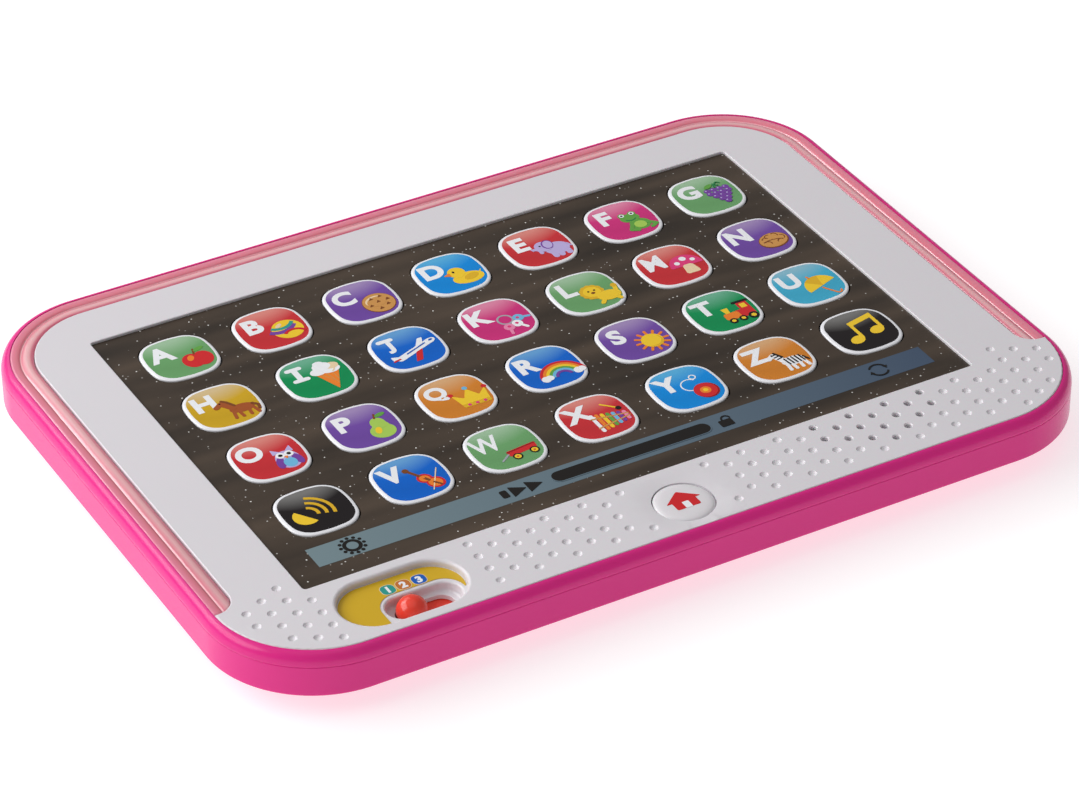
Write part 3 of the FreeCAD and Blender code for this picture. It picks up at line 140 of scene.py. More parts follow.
def moulded(
    name, colour, roughness=0.3, cloud=0.03, grain=0.000004, grain_scale=3500.0, glow=0.0, gloss=0.5
):
    """Moulded plastic: a faintly clouded colour, a fine mould texture and uneven gloss."""
    material, shader = new_material(name)
    drift = noise(material, 35.0)
    tone = between(material, drift, shade(colour, 1 - cloud), shade(colour, 1 + cloud))
    join(material, tone, shader.inputs["Base Color"])
    fine = noise(material, grain_scale, 3.0)
    join(material, spread(material, fine, roughness * 0.85, roughness * 1.15), shader.inputs["Roughness"])
    bumped(material, shader, fine, grain)
    put(shader, Specular_IOR_Level=gloss)
    if glow:
        put(shader, Subsurface_Weight=glow, Subsurface_Radius=GLOW_REACH, Subsurface_Scale=1.0)
    return material


def finished(bm, name, *materials):
    """A mesh object from a bmesh, with its materials."""
    mesh = bpy.data.meshes.new(name)
    bm.to_mesh(mesh)
    bm.free()
    piece = bpy.data.objects.new(name, mesh)
    scene.collection.objects.link(piece)
    for material in materials:
        mesh.materials.append(material)
    return piece


def fit(piece, body, slot, *nodes):
    """Hang a piece on its body and let it stand for CAD nodes; the slot is not used."""
    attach(piece, body)
    if nodes:
        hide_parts(*nodes)
    return piece


def body_of(node):
    """The body that a CAD node rides on."""
    return frame["nodes"][node]["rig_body"]


def slot_of(node):
    """The record's material slot of a CAD node."""
    rows = frame["record"]["subparts"]
    return next(row["material_slot"] for row in rows if row["node"] == node)


def soften(bm, crease):
    """Soft shading on all faces, up to a crease angle in degrees."""
    for face in bm.faces:
        face.smooth = True
    for edge in bm.edges:
        edge.smooth = edge.is_manifold and edge.calc_face_angle(0.0) < radians(crease)


def welded(node, material, crease=28.0):
    """A welded copy of a CAD node with soft shading up to a crease angle, which stands for it."""
    bm = bmesh.new()
    bm.from_mesh(frame["nodes"][node].data)
    bmesh.ops.remove_doubles(bm, verts=bm.verts, dist=2e-6)
    bmesh.ops.dissolve_degenerate(bm, edges=bm.edges, dist=1e-7)
    for face in bm.faces:
        face.material_index = 0
    soften(bm, crease)
    piece = finished(bm, node + "_moulding", material)
    evened = piece.modifiers.new("even shading", "WEIGHTED_NORMAL")
    evened.keep_sharp = True
    return fit(piece, body_of(node), slot_of(node), node)


def paint(material, *nodes):
    """Give CAD nodes their finish."""
    for node in nodes:
        mesh = frame["nodes"][node].data
        mesh.materials.clear()
        mesh.materials.append(material)


pink = moulded("pink housing ABS", HOUSING_PINK, roughness=0.24, glow=0.12, gloss=0.32)
welded("rear_cover", pink)
welded("battery_door", pink)

# ---- Front rim ----------------------------------------------------------------------------------
# The pink frame that closes the case from above: a rounded shoulder outside, a skirt behind the
# rear cover's lip and a ledge that carries the faceplate. Moulded in the same pink ABS.

OUTLINE_STEPS = 28
CORNER_RADIUS = 30.4 * MM
RIM_WIDTH = 2.5 * MM
RIM_LEDGE = 5.0 * MM
LEDGE_THICK = 1.4 * MM
LAP_INSET = 1.1 * MM
SHOULDER_STEPS = 12
SEAM_ROUND = 0.15 * MM

rim_low, rim_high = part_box("front_rim")
half_width, half_depth, rim_top = rim_high
ledge_bottom = rim_low.z
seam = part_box("rear_cover")[1].z


def new_vertices(grown):
    """The corners that an extrusion made."""
    return [part for part in grown["geom"] if isinstance(part, bmesh.types.BMVert)]


def step_on(bm, edges, move):
    """Extrude a run of edges once, move each new corner and give the new edges."""
    fresh = new_vertices(bmesh.ops.extrude_edge_only(bm, edges=edges))
    for vertex in fresh:
        vertex.co = move(vertex.co)
    fresh = set(fresh)
    return [
        e for v in fresh for e in v.link_edges
        if e.verts[0] in fresh and e.verts[1] in fresh and v is e.verts[0]
    ]


def round_corners(bm, corners, radius, steps, **more):
    """Round some corners of a flat face or a line."""
    bmesh.ops.bevel(
        bm, geom=corners, offset=radius, offset_type="OFFSET", affect="VERTICES",
        segments=steps, profile=0.5, material=-1, **more,
    )


def rounded_face(bm, half_x, half_y, radius, z, steps):
    """A flat rectangle with rounded corners, as one face of a new bmesh."""
    signs = ((-1, -1), (1, -1), (1, 1), (-1, 1))
    corners = [bm.verts.new((i * half_x, j * half_y, z)) for i, j in signs]
    bm.faces.new(corners)
    round_corners(bm, corners, radius, steps)
    return max(bm.faces, key=lambda face: len(face.verts))


def drawn_in(inset, z):
    """A move that puts a point of the tablet's outline at an inset and a height."""

    def move(point):
        reach_x, reach_y = half_width - CORNER_RADIUS, half_depth - CORNER_RADIUS
        core = Vector((max(-reach_x, min(reach_x, point.x)), max(-reach_y, min(reach_y, point.y))))
        out = (point.xy - core).normalized() * (CORNER_RADIUS - inset)
        return Vector((core.x + out.x, core.y + out.y, z))

    return move


def rim_section():
    """The rim's section, as insets and heights, round from the seam over the shoulder."""
    section = [(SEAM_ROUND, seam), (SEAM_ROUND * 0.3, seam + SEAM_ROUND * 0.3), (0.0, seam + SEAM_ROUND)]
    rise = rim_top - seam - SEAM_ROUND
    for step in range(1, SHOULDER_STEPS + 1):
        angle = pi / 2 * step / SHOULDER_STEPS
        section.append((RIM_WIDTH * (1 - cos(angle)), seam + SEAM_ROUND + rise * sin(angle)))
    section.append((RIM_WIDTH, rim_top - 0.4 * MM))
    section.append((RIM_WIDTH, ledge_bottom + LEDGE_THICK))
    section.append((RIM_LEDGE, ledge_bottom + LEDGE_THICK))
    section.append((RIM_LEDGE, ledge_bottom))
    section.append((LAP_INSET, ledge_bottom))
    section.append((LAP_INSET, seam))
    return section


bm = bmesh.new()
face = rounded_face(bm, half_width, half_depth, CORNER_RADIUS, seam, OUTLINE_STEPS)
first_loop = list(face.edges)
bmesh.ops.delete(bm, geom=[face], context="FACES_ONLY")
section = rim_section()
for vertex in {v for e in first_loop for v in e.verts}:
    vertex.co = drawn_in(*section[0])(vertex.co)
loop = first_loop
for inset, z in section[1:]:
    loop = step_on(bm, loop, drawn_in(inset, z))
bmesh.ops.bridge_loops(bm, edges=loop + first_loop)
bmesh.ops.recalc_face_normals(bm, faces=bm.faces)
soften(bm, 40)
front_rim = finished(bm, "front_rim_moulding", pink)
fit(front_rim, "tablet", "pink_housing", "front_rim")

# ---- Faceplate ----------------------------------------------------------------------------------
# The white plate: one moulding with the screen window, the field of dimples, the speaker's holes,
# the dish of the home button and the tray of the stage switch. Fine satin ABS.

PLATE_WHITE = (0.730, 0.700, 0.735)

white = moulded("white faceplate ABS", PLATE_WHITE, roughness=0.34, cloud=0.012, grain=0.000005, glow=0.08)
welded("faceplate", white)

# ---- Light bar ----------------------------------------------------------------------------------
# A clear pink light guide on three sides: a frosted round core inside, a crease, then a flatter
# strip out to the rim. Moulded in tinted acrylic; LEDs in a white channel light it from below.
# Its colour across the bar holds painted highlights and painted shade as well as its tint.

BAR_SECTION = (
    # inset from the outline and height below the plate's face, in mm, round from the inner wall
    (8.9, -3.6), (8.9, -1.00), (8.84, -0.72), (8.6, -0.46), (8.2, -0.28), (7.7, -0.20), (7.1, -0.20),
    (6.5, -0.26), (6.0, -0.38), (5.6, -0.56), (5.4, -0.72), (5.3, -0.76), (5.2, -0.68), (5.0, -0.50),
    (4.6, -0.36), (4.0, -0.27), (3.4, -0.23), (2.95, -0.24), (2.72, -0.30), (2.6, -0.42), (2.6, -3.6),
)
BAR_ENDS = ((0.0, 0.80), (0.12, 0.42), (0.35, 0.16), (0.8, 0.0))
BAR_FOOT = 58.4 * MM
BAR_FOOT_ROUND = 5.4
# Tint and frosted core, with painted highlights at the crease and on the ridge, painted shade by the plate.
BAR_TINT_AND_PAINTED_LIGHT = (
    # place across the bar, as inset from the outline in mm, and the colour there, painted light included
    (2.6, (0.88, 0.260, 0.420)), (2.9, (0.88, 0.260, 0.380)), (4.4, (0.80, 0.235, 0.300)),
    (5.0, (0.74, 0.180, 0.250)), (5.3, (0.92, 0.520, 0.560)), (5.7, (0.74, 0.200, 0.270)),
    (6.3, (0.82, 0.330, 0.380)), (6.9, (0.86, 0.480, 0.500)), (7.6, (0.84, 0.420, 0.450)),
    (8.2, (0.72, 0.190, 0.260)), (8.9, (0.60, 0.085, 0.165)),
)
BAR_COLOUR_SPAN = 10.0

plate_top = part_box("faceplate")[1].z


def foot_line(inset):
    """Where the bar ends in front, at an inset: its inner corner is rounded in plan."""
    short = max(0.0, inset - (BAR_SECTION[0][0] - BAR_FOOT_ROUND))
    return (BAR_FOOT_ROUND - sqrt(BAR_FOOT_ROUND**2 - short**2)) * MM - BAR_FOOT


def bar_move(before, inset, z):
    """A move from one line of the bar's section to the next."""

    def move(point):
        reach_x, reach_y = half_width - CORNER_RADIUS, half_depth - CORNER_RADIUS
        core = Vector((max(-reach_x, min(reach_x, point.x)), min(reach_y, point.y)))
        out = (point.xy - core).normalized() * (CORNER_RADIUS - inset * MM)
        along = point.y - foot_line(before)
        if along > BAR_ENDS[-1][0] * MM * 1.5:
            return Vector((core.x + out.x, core.y + out.y, plate_top + z * MM))
        sink = min(BAR_ENDS, key=lambda end: abs(end[0] * MM - along))[1]
        sunk = z - sink if z > BAR_SECTION[0][1] else z
        return Vector((core.x + out.x, along + foot_line(inset), plate_top + sunk * MM))

    return move


start_inset = BAR_SECTION[0][0]
side, back_line = half_width - start_inset * MM, half_depth - start_inset * MM
stations = [foot_line(start_inset) + reach * MM for reach, _ in BAR_ENDS]
bm = bmesh.new()
run = [bm.verts.new((-side, y, 0)) for y in stations]
bends = [bm.verts.new((-side, back_line, 0)), bm.verts.new((side, back_line, 0))]
run += bends + [bm.verts.new((side, y, 0)) for y in reversed(stations)]
for pair in zip(run, run[1:]):
    bm.edges.new(pair)
round_corners(bm, bends, CORNER_RADIUS - start_inset * MM, OUTLINE_STEPS)
first_line = bm.edges[:]
for vertex in bm.verts:
    vertex.co.z = plate_top + BAR_SECTION[0][1] * MM
line, before = first_line, start_inset
for inset, z in BAR_SECTION[1:]:
    line = step_on(bm, line, bar_move(before, inset, z))
    before = inset
bmesh.ops.bridge_loops(bm, edges=first_line + line)
bmesh.ops.holes_fill(bm, edges=[e for e in bm.edges if e.is_boundary], sides=0)
bmesh.ops.recalc_face_normals(bm, faces=bm.faces)
soften(bm, 50)


def reckon(material, operation, *values, kind="ShaderNodeMath"):
    """The result of one step of arithmetic on sockets, numbers or vectors."""
    node = add_node(material, kind, operation=operation)
    for socket, value in zip(node.inputs, values):
        if isinstance(value, bpy.types.NodeSocket):
            join(material, value, socket)
        else:
            socket.default_value = value
    return node.outputs["Value" if operation == "LENGTH" else 0]


def outline_inset(material):
    """How far a point lies inside the tablet's outline, as a share of the colour span."""
    vector = "ShaderNodeVectorMath"
    place = add_node(material, "ShaderNodeTexCoord").outputs["Object"]
    core = (half_width - CORNER_RADIUS, half_depth - CORNER_RADIUS, 1.0)
    past = reckon(material, "SUBTRACT", reckon(material, "ABSOLUTE", place, kind=vector), core, kind=vector)
    kept = reckon(material, "MAXIMUM", past, (0.0, 0.0, 0.0), kind=vector)
    inset = reckon(material, "SUBTRACT", CORNER_RADIUS, reckon(material, "LENGTH", kept, kind=vector))
    return reckon(material, "DIVIDE", inset, BAR_COLOUR_SPAN * MM)


def colour_ramp(material, factor, stops):
    """A ramp of colours at places from 0 to 1."""
    ramp = add_node(material, "ShaderNodeValToRGB")
    elements = ramp.color_ramp.elements
    while len(elements) < len(stops):
        elements.new(0.5)
    for element, (place, colour) in zip(elements, stops):
        element.position = place
        element.color = (*colour[:3], 1.0)
    join(material, factor, ramp.inputs["Fac"])
    return ramp.outputs["Color"]


bar_acrylic, bar_shader = new_material("pink light guide acrylic")
bar_stops = [(place / BAR_COLOUR_SPAN, colour) for place, colour in BAR_TINT_AND_PAINTED_LIGHT]
# Colour by inset: the acrylic's tint with painted highlights and painted shade.
bar_tint_and_painted_light = colour_ramp(bar_acrylic, outline_inset(bar_acrylic), bar_stops)
join(bar_acrylic, bar_tint_and_painted_light, bar_shader.inputs["Base Color"])
bar_grain = noise(bar_acrylic, 900.0)
join(bar_acrylic, spread(bar_acrylic, bar_grain, 0.12, 0.22), bar_shader.inputs["Roughness"])
bumped(bar_acrylic, bar_shader, bar_grain, 0.000005)
put(
    bar_shader, Subsurface_Weight=0.2, Subsurface_Radius=(0.0030, 0.0010, 0.0012), Subsurface_Scale=1.0,
    Coat_Weight=0.5, Coat_Roughness=0.05,
)
light_bar = finished(bm, "light_bar_guide", bar_acrylic)
fit(light_bar, "tablet", "light_bar", "light_bar")

paint(moulded("white channel ABS", (0.8, 0.8, 0.8), roughness=0.5), "light_bar_reflector")
paint(moulded("LED epoxy", (0.85, 0.80, 0.45), roughness=0.15, grain=0.0), "light_bar_leds")

# ---- Screen film --------------------------------------------------------------------------------
# The printed polycarbonate film behind the window: a warm near-black, soft gloss, with fine pale
# specks scattered over it and long soft lighter and darker bands that are painted reflection. A
# grey-blue bar with plain symbols is printed along its near edge.

FILM_BLACK = (0.0420, 0.0290, 0.0200)
FILM_SPECK = (0.80, 0.78, 0.75)
SPECKS_PER_METRE = 760.0
SPECK_REACH = 0.17
SPECKS_LEFT_OUT = 0.72
# Long soft bands, lighter and darker, painted into the film's colour as reflection.
REFLECTION_STREAK_TURN = (0.0, 0.0, radians(-24))
REFLECTION_STREAK_SCALE = (14.0, 110.0, 1.0)

film_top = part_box("screen_film")[1].z

film, film_shader = new_material("printed screen film")
film_place = add_node(film, "ShaderNodeTexCoord")
specks = add_node(film, "ShaderNodeTexVoronoi", Scale=SPECKS_PER_METRE, Randomness=1.0)
join(film, film_place.outputs["Object"], specks.inputs["Vector"])
near = reckon(film, "LESS_THAN", specks.outputs["Distance"], SPECK_REACH)
chosen = add_node(film, "ShaderNodeSeparateColor")
join(film, specks.outputs["Color"], chosen.inputs["Color"])
rare = reckon(film, "GREATER_THAN", chosen.outputs["Red"], SPECKS_LEFT_OUT)
faded = reckon(film, "MULTIPLY", reckon(film, "MULTIPLY", near, rare), chosen.outputs["Green"])
# Stretched noise that paints reflection bands into the film's black.
stretched = add_node(film, "ShaderNodeMapping", Rotation=REFLECTION_STREAK_TURN, Scale=REFLECTION_STREAK_SCALE)
join(film, film_place.outputs["Object"], stretched.inputs["Vector"])
streaks = add_node(film, "ShaderNodeTexNoise", Scale=1.0, Detail=1.5)
join(film, stretched.outputs["Vector"], streaks.inputs["Vector"])
reflection_streak_tone = spread(film, streaks.outputs["Fac"], -0.6, 1.6)
film_black_and_reflections = between(film, reflection_streak_tone, shade(FILM_BLACK, 0.6), shade(FILM_BLACK, 1.9))
film_mix = add_node(film, "ShaderNodeMix", data_type="RGBA")
film_mix.inputs[7].default_value = (*FILM_SPECK, 1.0)
join(film, faded, film_mix.inputs[0])
join(film, film_black_and_reflections, film_mix.inputs[6])
join(film, film_mix.outputs[2], film_shader.inputs["Base Color"])
film_wave = noise(film, 28.0, 1.0)
join(film, spread(film, film_wave, 0.26, 0.36), film_shader.inputs["Roughness"])
bumped(film, film_shader, film_wave, 0.00006)
put(film_shader, Specular_IOR_Level=0.32)
paint(film, "screen_film")

# ---- Printed bar and symbols --------------------------------------------------------------------
# Screen-printed on the film: a grey-blue band with a sun, play arrows, a long dark slot, an open
# padlock and two turning arrows. Each is a hair-thin layer of ink.

BAR_HALF = 91.0
BAR_Y = -49.0
BAR_HIGH = 8.0
SUN_X = -79.8
SLOT_START, SLOT_END = -20.6, 21.8
ARROWS_X = 76.0
ARROWS_RADIUS = 2.5
PRINT_LIFT = 0.03
PRINT_SINK = 0.10
BAR_GREY_LEFT = (0.175, 0.245, 0.270)
BAR_GREY_RIGHT = (0.055, 0.085, 0.140)

INKS = {
    "white": (0.86, 0.87, 0.90), "black": (0.010, 0.008, 0.007), "red": (0.62, 0.020, 0.025),
    "dark red": (0.30, 0.008, 0.012), "orange": (0.83, 0.22, 0.025), "yellow": (0.87, 0.58, 0.030),
    "gold": (0.72, 0.43, 0.020), "cream": (0.82, 0.63, 0.40), "tan": (0.60, 0.29, 0.080),
    "brown": (0.20, 0.060, 0.015), "leaf": (0.12, 0.36, 0.060), "green": (0.020, 0.22, 0.070),
    "lime": (0.38, 0.60, 0.10), "sky": (0.16, 0.47, 0.72), "blue": (0.012, 0.11, 0.48),
    "violet": (0.18, 0.055, 0.34), "lilac": (0.50, 0.42, 0.72), "pink": (0.80, 0.24, 0.42),
    "chestnut": (0.36, 0.085, 0.020), "rose": (0.72, 0.045, 0.19), "grey": (0.36, 0.38, 0.42),
    "teal": (0.030, 0.32, 0.27), "amber": (0.54, 0.17, 0.035),
}
ink_cache = {}


def ink(name):
    """A glossy printing ink with a faint screen-print unevenness."""
    if name not in ink_cache:
        ink_cache[name] = moulded(
            "ink " + name, INKS[name], roughness=0.22, cloud=0.06, grain=0.000001, gloss=0.25
        )
    return ink_cache[name]


def around(x, y, reach, angle):
    """The place at a reach and an angle, in radians, round a centre."""
    return x + reach * cos(angle), y + reach * sin(angle)


class Print:
    """Flat shapes of ink, laid one on another in millimetres, that become one thin closed mesh."""

    def __init__(self):
        self.bm = bmesh.new()
        self.names = []
        self.layer = 0

    def stain(self, name, faces):
        """Give new faces their ink and lay them on what is there."""
        if name not in self.names:
            self.names.append(name)
        self.layer += 1
        faces = list(faces)
        for face in faces:
            face.material_index = self.names.index(name)
        for vertex in {v for face in faces for v in face.verts}:
            vertex.co.z = self.layer * 0.006

    def known(self):
        """The faces so far."""
        return set(self.bm.faces)

    def dot(self, name, x, y, rx, ry=None, turn=0.0, steps=28):
        """A disc or an oval."""
        before = self.known()
        place = Matrix.Translation((x, y, 0)) @ Matrix.Rotation(radians(turn), 4, "Z")
        place = place @ Matrix.Diagonal((rx, ry or rx, 1, 1))
        bmesh.ops.create_circle(self.bm, cap_ends=True, segments=steps, radius=1.0, matrix=place)
        self.stain(name, set(self.bm.faces) - before)

    def shape(self, name, points, soft=0.0):
        """A polygon, with rounded corners if soft."""
        before = self.known()
        corners = [self.bm.verts.new((x, y, 0)) for x, y in points]
        self.bm.faces.new(corners)
        if soft:
            round_corners(self.bm, corners, soft, 5, clamp_overlap=True)
        self.stain(name, set(self.bm.faces) - before)

    def block(self, name, left, low, right, high, soft=0.0):
        """An upright rectangle, with rounded corners if soft."""
        self.shape(name, [(left, low), (right, low), (right, high), (left, high)], soft)

    def line(self, name, width, *points):
        """A line with round ends and joints."""
        for (x0, y0), (x1, y1) in zip(points, points[1:]):
            length = sqrt((x1 - x0) ** 2 + (y1 - y0) ** 2)
            along = Vector(((x1 - x0) / length, (y1 - y0) / length))
            side = Vector((-along.y, along.x)) * width / 2
            start, end = Vector((x0, y0)) - along * width / 2, Vector((x1, y1)) + along * width / 2
            corners = (start - side, end - side, end + side, start + side)
            self.shape(name, [tuple(c) for c in corners], width * 0.499)

    def bow(self, name, x, y, radius, width, start, end):
        """A strip bent round a centre, between two angles in degrees."""
        before = self.known()
        reaches = (radius - width / 2, radius + width / 2)
        ends = [self.bm.verts.new((*around(x, y, reach, radians(start)), 0)) for reach in reaches]
        edge = self.bm.edges.new(ends)
        steps = max(4, int(abs(end - start) / 12))
        bmesh.ops.spin(
            self.bm, geom=[*ends, edge], cent=(x, y, 0), axis=(0, 0, 1),
            angle=radians(end - start), steps=steps, use_merge=abs(end - start) >= 360,
        )
        self.stain(name, set(self.bm.faces) - before)

    def text(self, name, words, x, y, high, bold=0.0, wide=1.0):
        """A figure or a letter, centred on a place."""
        curve = bpy.data.curves.new("lettering", "FONT")
        curve.body = words
        curve.offset = bold
        curve.resolution_u = 5
        writing = bpy.data.objects.new("lettering", curve)
        mesh = bpy.data.meshes.new_from_object(writing)
        bpy.data.objects.remove(writing)
        low = Vector([min(v.co[i] for v in mesh.vertices) for i in (0, 1)])
        high_corner = Vector([max(v.co[i] for v in mesh.vertices) for i in (0, 1)])
        scale = high / (high_corner.y - low.y)
        middle = (low + high_corner) / 2
        move = Matrix.Translation((x, y, 0)) @ Matrix.Diagonal((scale * wide, scale, 1, 1))
        mesh.transform(move @ Matrix.Translation((-middle.x, -middle.y, 0)))
        before = self.known()
        self.bm.from_mesh(mesh)
        bpy.data.meshes.remove(mesh)
        self.stain(name, set(self.bm.faces) - before)

    def lay(self, name, surface, lift=PRINT_LIFT, sink=PRINT_SINK):
        """Thicken the ink, lay it on a surface height(x, y) in millimetres, and make the object."""
        bm = self.bm
        top = new_vertices(bmesh.ops.extrude_face_region(bm, geom=bm.faces[:]))
        for vertex in top:
            vertex.co.z += lift + sink
        for vertex in bm.verts:
            vertex.co.z += surface(vertex.co.x, vertex.co.y) - sink
        for face in bm.faces:
            face.smooth = False
        bmesh.ops.recalc_face_normals(bm, faces=bm.faces)
        bmesh.ops.scale(bm, vec=(MM, MM, MM), verts=bm.verts)
        return finished(bm, name, *(ink(each) for each in self.names))


def on_film(x, y):
    """Height of the film, the same everywhere."""
    return film_top / MM


bar_print = Print()
bar_low, bar_high = BAR_Y - BAR_HIGH / 2, BAR_Y + BAR_HIGH / 2
bar_print.block("grey", -BAR_HALF, bar_low, BAR_HALF, bar_high)
bar_print.dot("black", SUN_X, BAR_Y, 2.6)
bar_print.dot("grey", SUN_X, BAR_Y, 1.55)
for ray in range(12):
    bar_print.dot("black", *around(SUN_X, BAR_Y, 3.2, 2 * pi * ray / 12), 0.52, steps=10)
bar_print.block("black", -37.6, BAR_Y - 1.6, -35.6, BAR_Y + 1.6, 0.5)
for tip in (-30.3, -25.6):
    bar_print.shape("black", [(tip - 4.4, BAR_Y - 2.3), (tip, BAR_Y), (tip - 4.4, BAR_Y + 2.3)], 0.25)
for name, width in (("grey", 4.9), ("black", 4.3)):
    bar_print.line(name, width, (SLOT_START, BAR_Y), (SLOT_END, BAR_Y))
bar_print.block("black", 26.7, BAR_Y - 2.2, 30.5, BAR_Y + 0.6, 0.4)
bar_print.bow("black", 29.3, BAR_Y + 0.9, 1.2, 0.45, -5, 190)
for turn in (0, 180):
    bar_print.bow("black", ARROWS_X, BAR_Y, ARROWS_RADIUS, 0.5, turn + 20, turn + 150)
    tip = around(ARROWS_X, BAR_Y, ARROWS_RADIUS, radians(turn + 14))
    bar_print.dot("black", *tip, 0.75, steps=3, turn=turn - 60)
printed_bar = bar_print.lay("printed_bar", on_film)
fit(printed_bar, "tablet", "printed_film")

band, band_shader = new_material("grey-blue band ink")
band_place = add_node(band, "ShaderNodeTexCoord")
band_x = add_node(band, "ShaderNodeSeparateXYZ")
join(band, band_place.outputs["Object"], band_x.inputs[0])
band_along = add_node(band, "ShaderNodeMapRange", From_Min=-BAR_HALF * MM, From_Max=BAR_HALF * MM)
join(band, band_x.outputs["X"], band_along.inputs["Value"])
band_tone = colour_ramp(band, band_along.outputs["Result"], [(0.0, BAR_GREY_LEFT), (1.0, BAR_GREY_RIGHT)])
join(band, band_tone, band_shader.inputs["Base Color"])
join(band, spread(band, noise(band, 60.0), 0.18, 0.28), band_shader.inputs["Roughness"])
put(band_shader, Specular_IOR_Level=0.25)
printed_bar.data.materials[bar_print.names.index("grey")] = band

# ---- Picture keys -------------------------------------------------------------------------------
# Twenty-eight domed keys pressed up from the film, each with a white border, a coloured field that
# pales towards the top, a white letter and a small picture. Printed under the gloss. The paler top
# of each field is printed gloss together with a painted sheen.

KEY_HALF = 10.0
KEY_CORNER = 6.6
KEY_SIDE_BOW = 0.25
KEY_SECTION = (
    # inset and height above the film, in mm, from the hidden foot up to the field
    (0.00, -0.90), (0.00, 0.02), (0.05, 0.12), (0.16, 0.21), (0.34, 0.29), (0.60, 0.345), (0.98, 0.38),
)
FIELD_EDGE = 1.10
FIELD_INSETS = (2.1, 3.3, 4.7)
FIELD_HEIGHT = 0.385
FIELD_CROWN = 0.06
FIELD_CROWN_SPAN = 72.0   # the crown's reach from the middle, squared, in mm2
FIELD_CORE = 0.45
FIELD_BEND = -0.35

FIELD_COLOURS_AND_SHEEN = {
    # the field's full colour and the pale colour near its top, partly printed gloss and partly painted sheen
    "key_leaf_green": ((0.135, 0.330, 0.130), (0.340, 0.520, 0.340)),
    "key_red": ((0.530, 0.027, 0.035), (0.700, 0.240, 0.205)),
    "key_purple": ((0.148, 0.062, 0.330), (0.350, 0.250, 0.480)),
    "key_blue": ((0.002, 0.115, 0.540), (0.130, 0.350, 0.660)),
    "key_bright_blue": ((0.002, 0.230, 0.650), (0.095, 0.420, 0.720)),
    "key_magenta": ((0.560, 0.028, 0.180), (0.720, 0.240, 0.380)),
    "key_gold": ((0.560, 0.340, 0.014), (0.660, 0.500, 0.270)),
    "key_green": ((0.002, 0.248, 0.078), (0.145, 0.420, 0.275)),
    "key_orange": ((0.590, 0.200, 0.022), (0.680, 0.390, 0.190)),
    "key_sky": ((0.048, 0.375, 0.560), (0.245, 0.490, 0.610)),
    "key_black": ((0.012, 0.009, 0.010), (0.190, 0.185, 0.180)),
}
BRIGHT_BLUE_KEYS = ("app_key_d", "app_key_y")

border_white = moulded("key border white", (0.86, 0.86, 0.90), roughness=0.16, cloud=0.01, grain=0.000001)


def key_field(name, colour, pale):
    """The field's print with a painted sheen: paler above a soft curve, deeper below, under clear gloss."""
    material, shader = new_material(name)
    place = add_node(material, "ShaderNodeTexCoord")
    part = add_node(material, "ShaderNodeSeparateXYZ")
    join(material, place.outputs["UV"], part.inputs[0])
    curve = reckon(material, "MULTIPLY", part.outputs["X"], part.outputs["X"])
    lowered = reckon(material, "MULTIPLY_ADD", curve, FIELD_BEND, part.outputs["Y"])
    ramp_place = add_node(material, "ShaderNodeMapRange", From_Min=-1.0, From_Max=1.0)
    join(material, lowered, ramp_place.inputs["Value"])
    # The pale stop at the top is the printed gloss together with a painted sheen.
    stops = [(0.0, shade(colour, 1.1)), (0.28, colour), (0.56, shade(colour, 1.1)), (0.88, pale)]
    join(material, colour_ramp(material, ramp_place.outputs["Result"], stops), shader.inputs["Base Color"])
    join(material, spread(material, noise(material, 300.0), 0.10, 0.16), shader.inputs["Roughness"])
    put(shader, Specular_IOR_Level=0.22)
    return material


def key_loop_move(inset, z, middle):
    """A move that draws a key's outline in by an inset, keeping its bowed sides."""

    def move(point):
        local = point - middle
        reach = (KEY_HALF - KEY_CORNER) * MM
        core = Vector((max(-reach, min(reach, local.x)), max(-reach, min(reach, local.y))))
        out = local.xy - core
        keep = (out.length - inset * MM) / out.length
        return Vector((middle.x + core.x + out.x * keep, middle.y + core.y + out.y * keep, z * MM))

    return move


def bow_sides(bm, middle):
    """Push the straight sides of a key's outline out a little."""
    straight = [e for e in bm.edges if e.calc_length() > KEY_CORNER * MM * 0.5]
    bmesh.ops.subdivide_edges(bm, edges=straight, cuts=5)
    for vertex in bm.verts:
        local = vertex.co - middle
        for axis, other in ((0, 1), (1, 0)):
            along = abs(local[other]) / ((KEY_HALF - KEY_CORNER) * MM)
            if abs(local[axis]) > (KEY_HALF - 0.5) * MM * 0.97 and along <= 1.01:
                vertex.co[axis] += (1 if local[axis] > 0 else -1) * KEY_SIDE_BOW * MM * (1 - along * along)


def on_field(x, y):
    """Height of a key's field above the film, at a place on the key."""
    return FIELD_HEIGHT + FIELD_CROWN * max(0.0, 1 - (x * x + y * y) / FIELD_CROWN_SPAN)


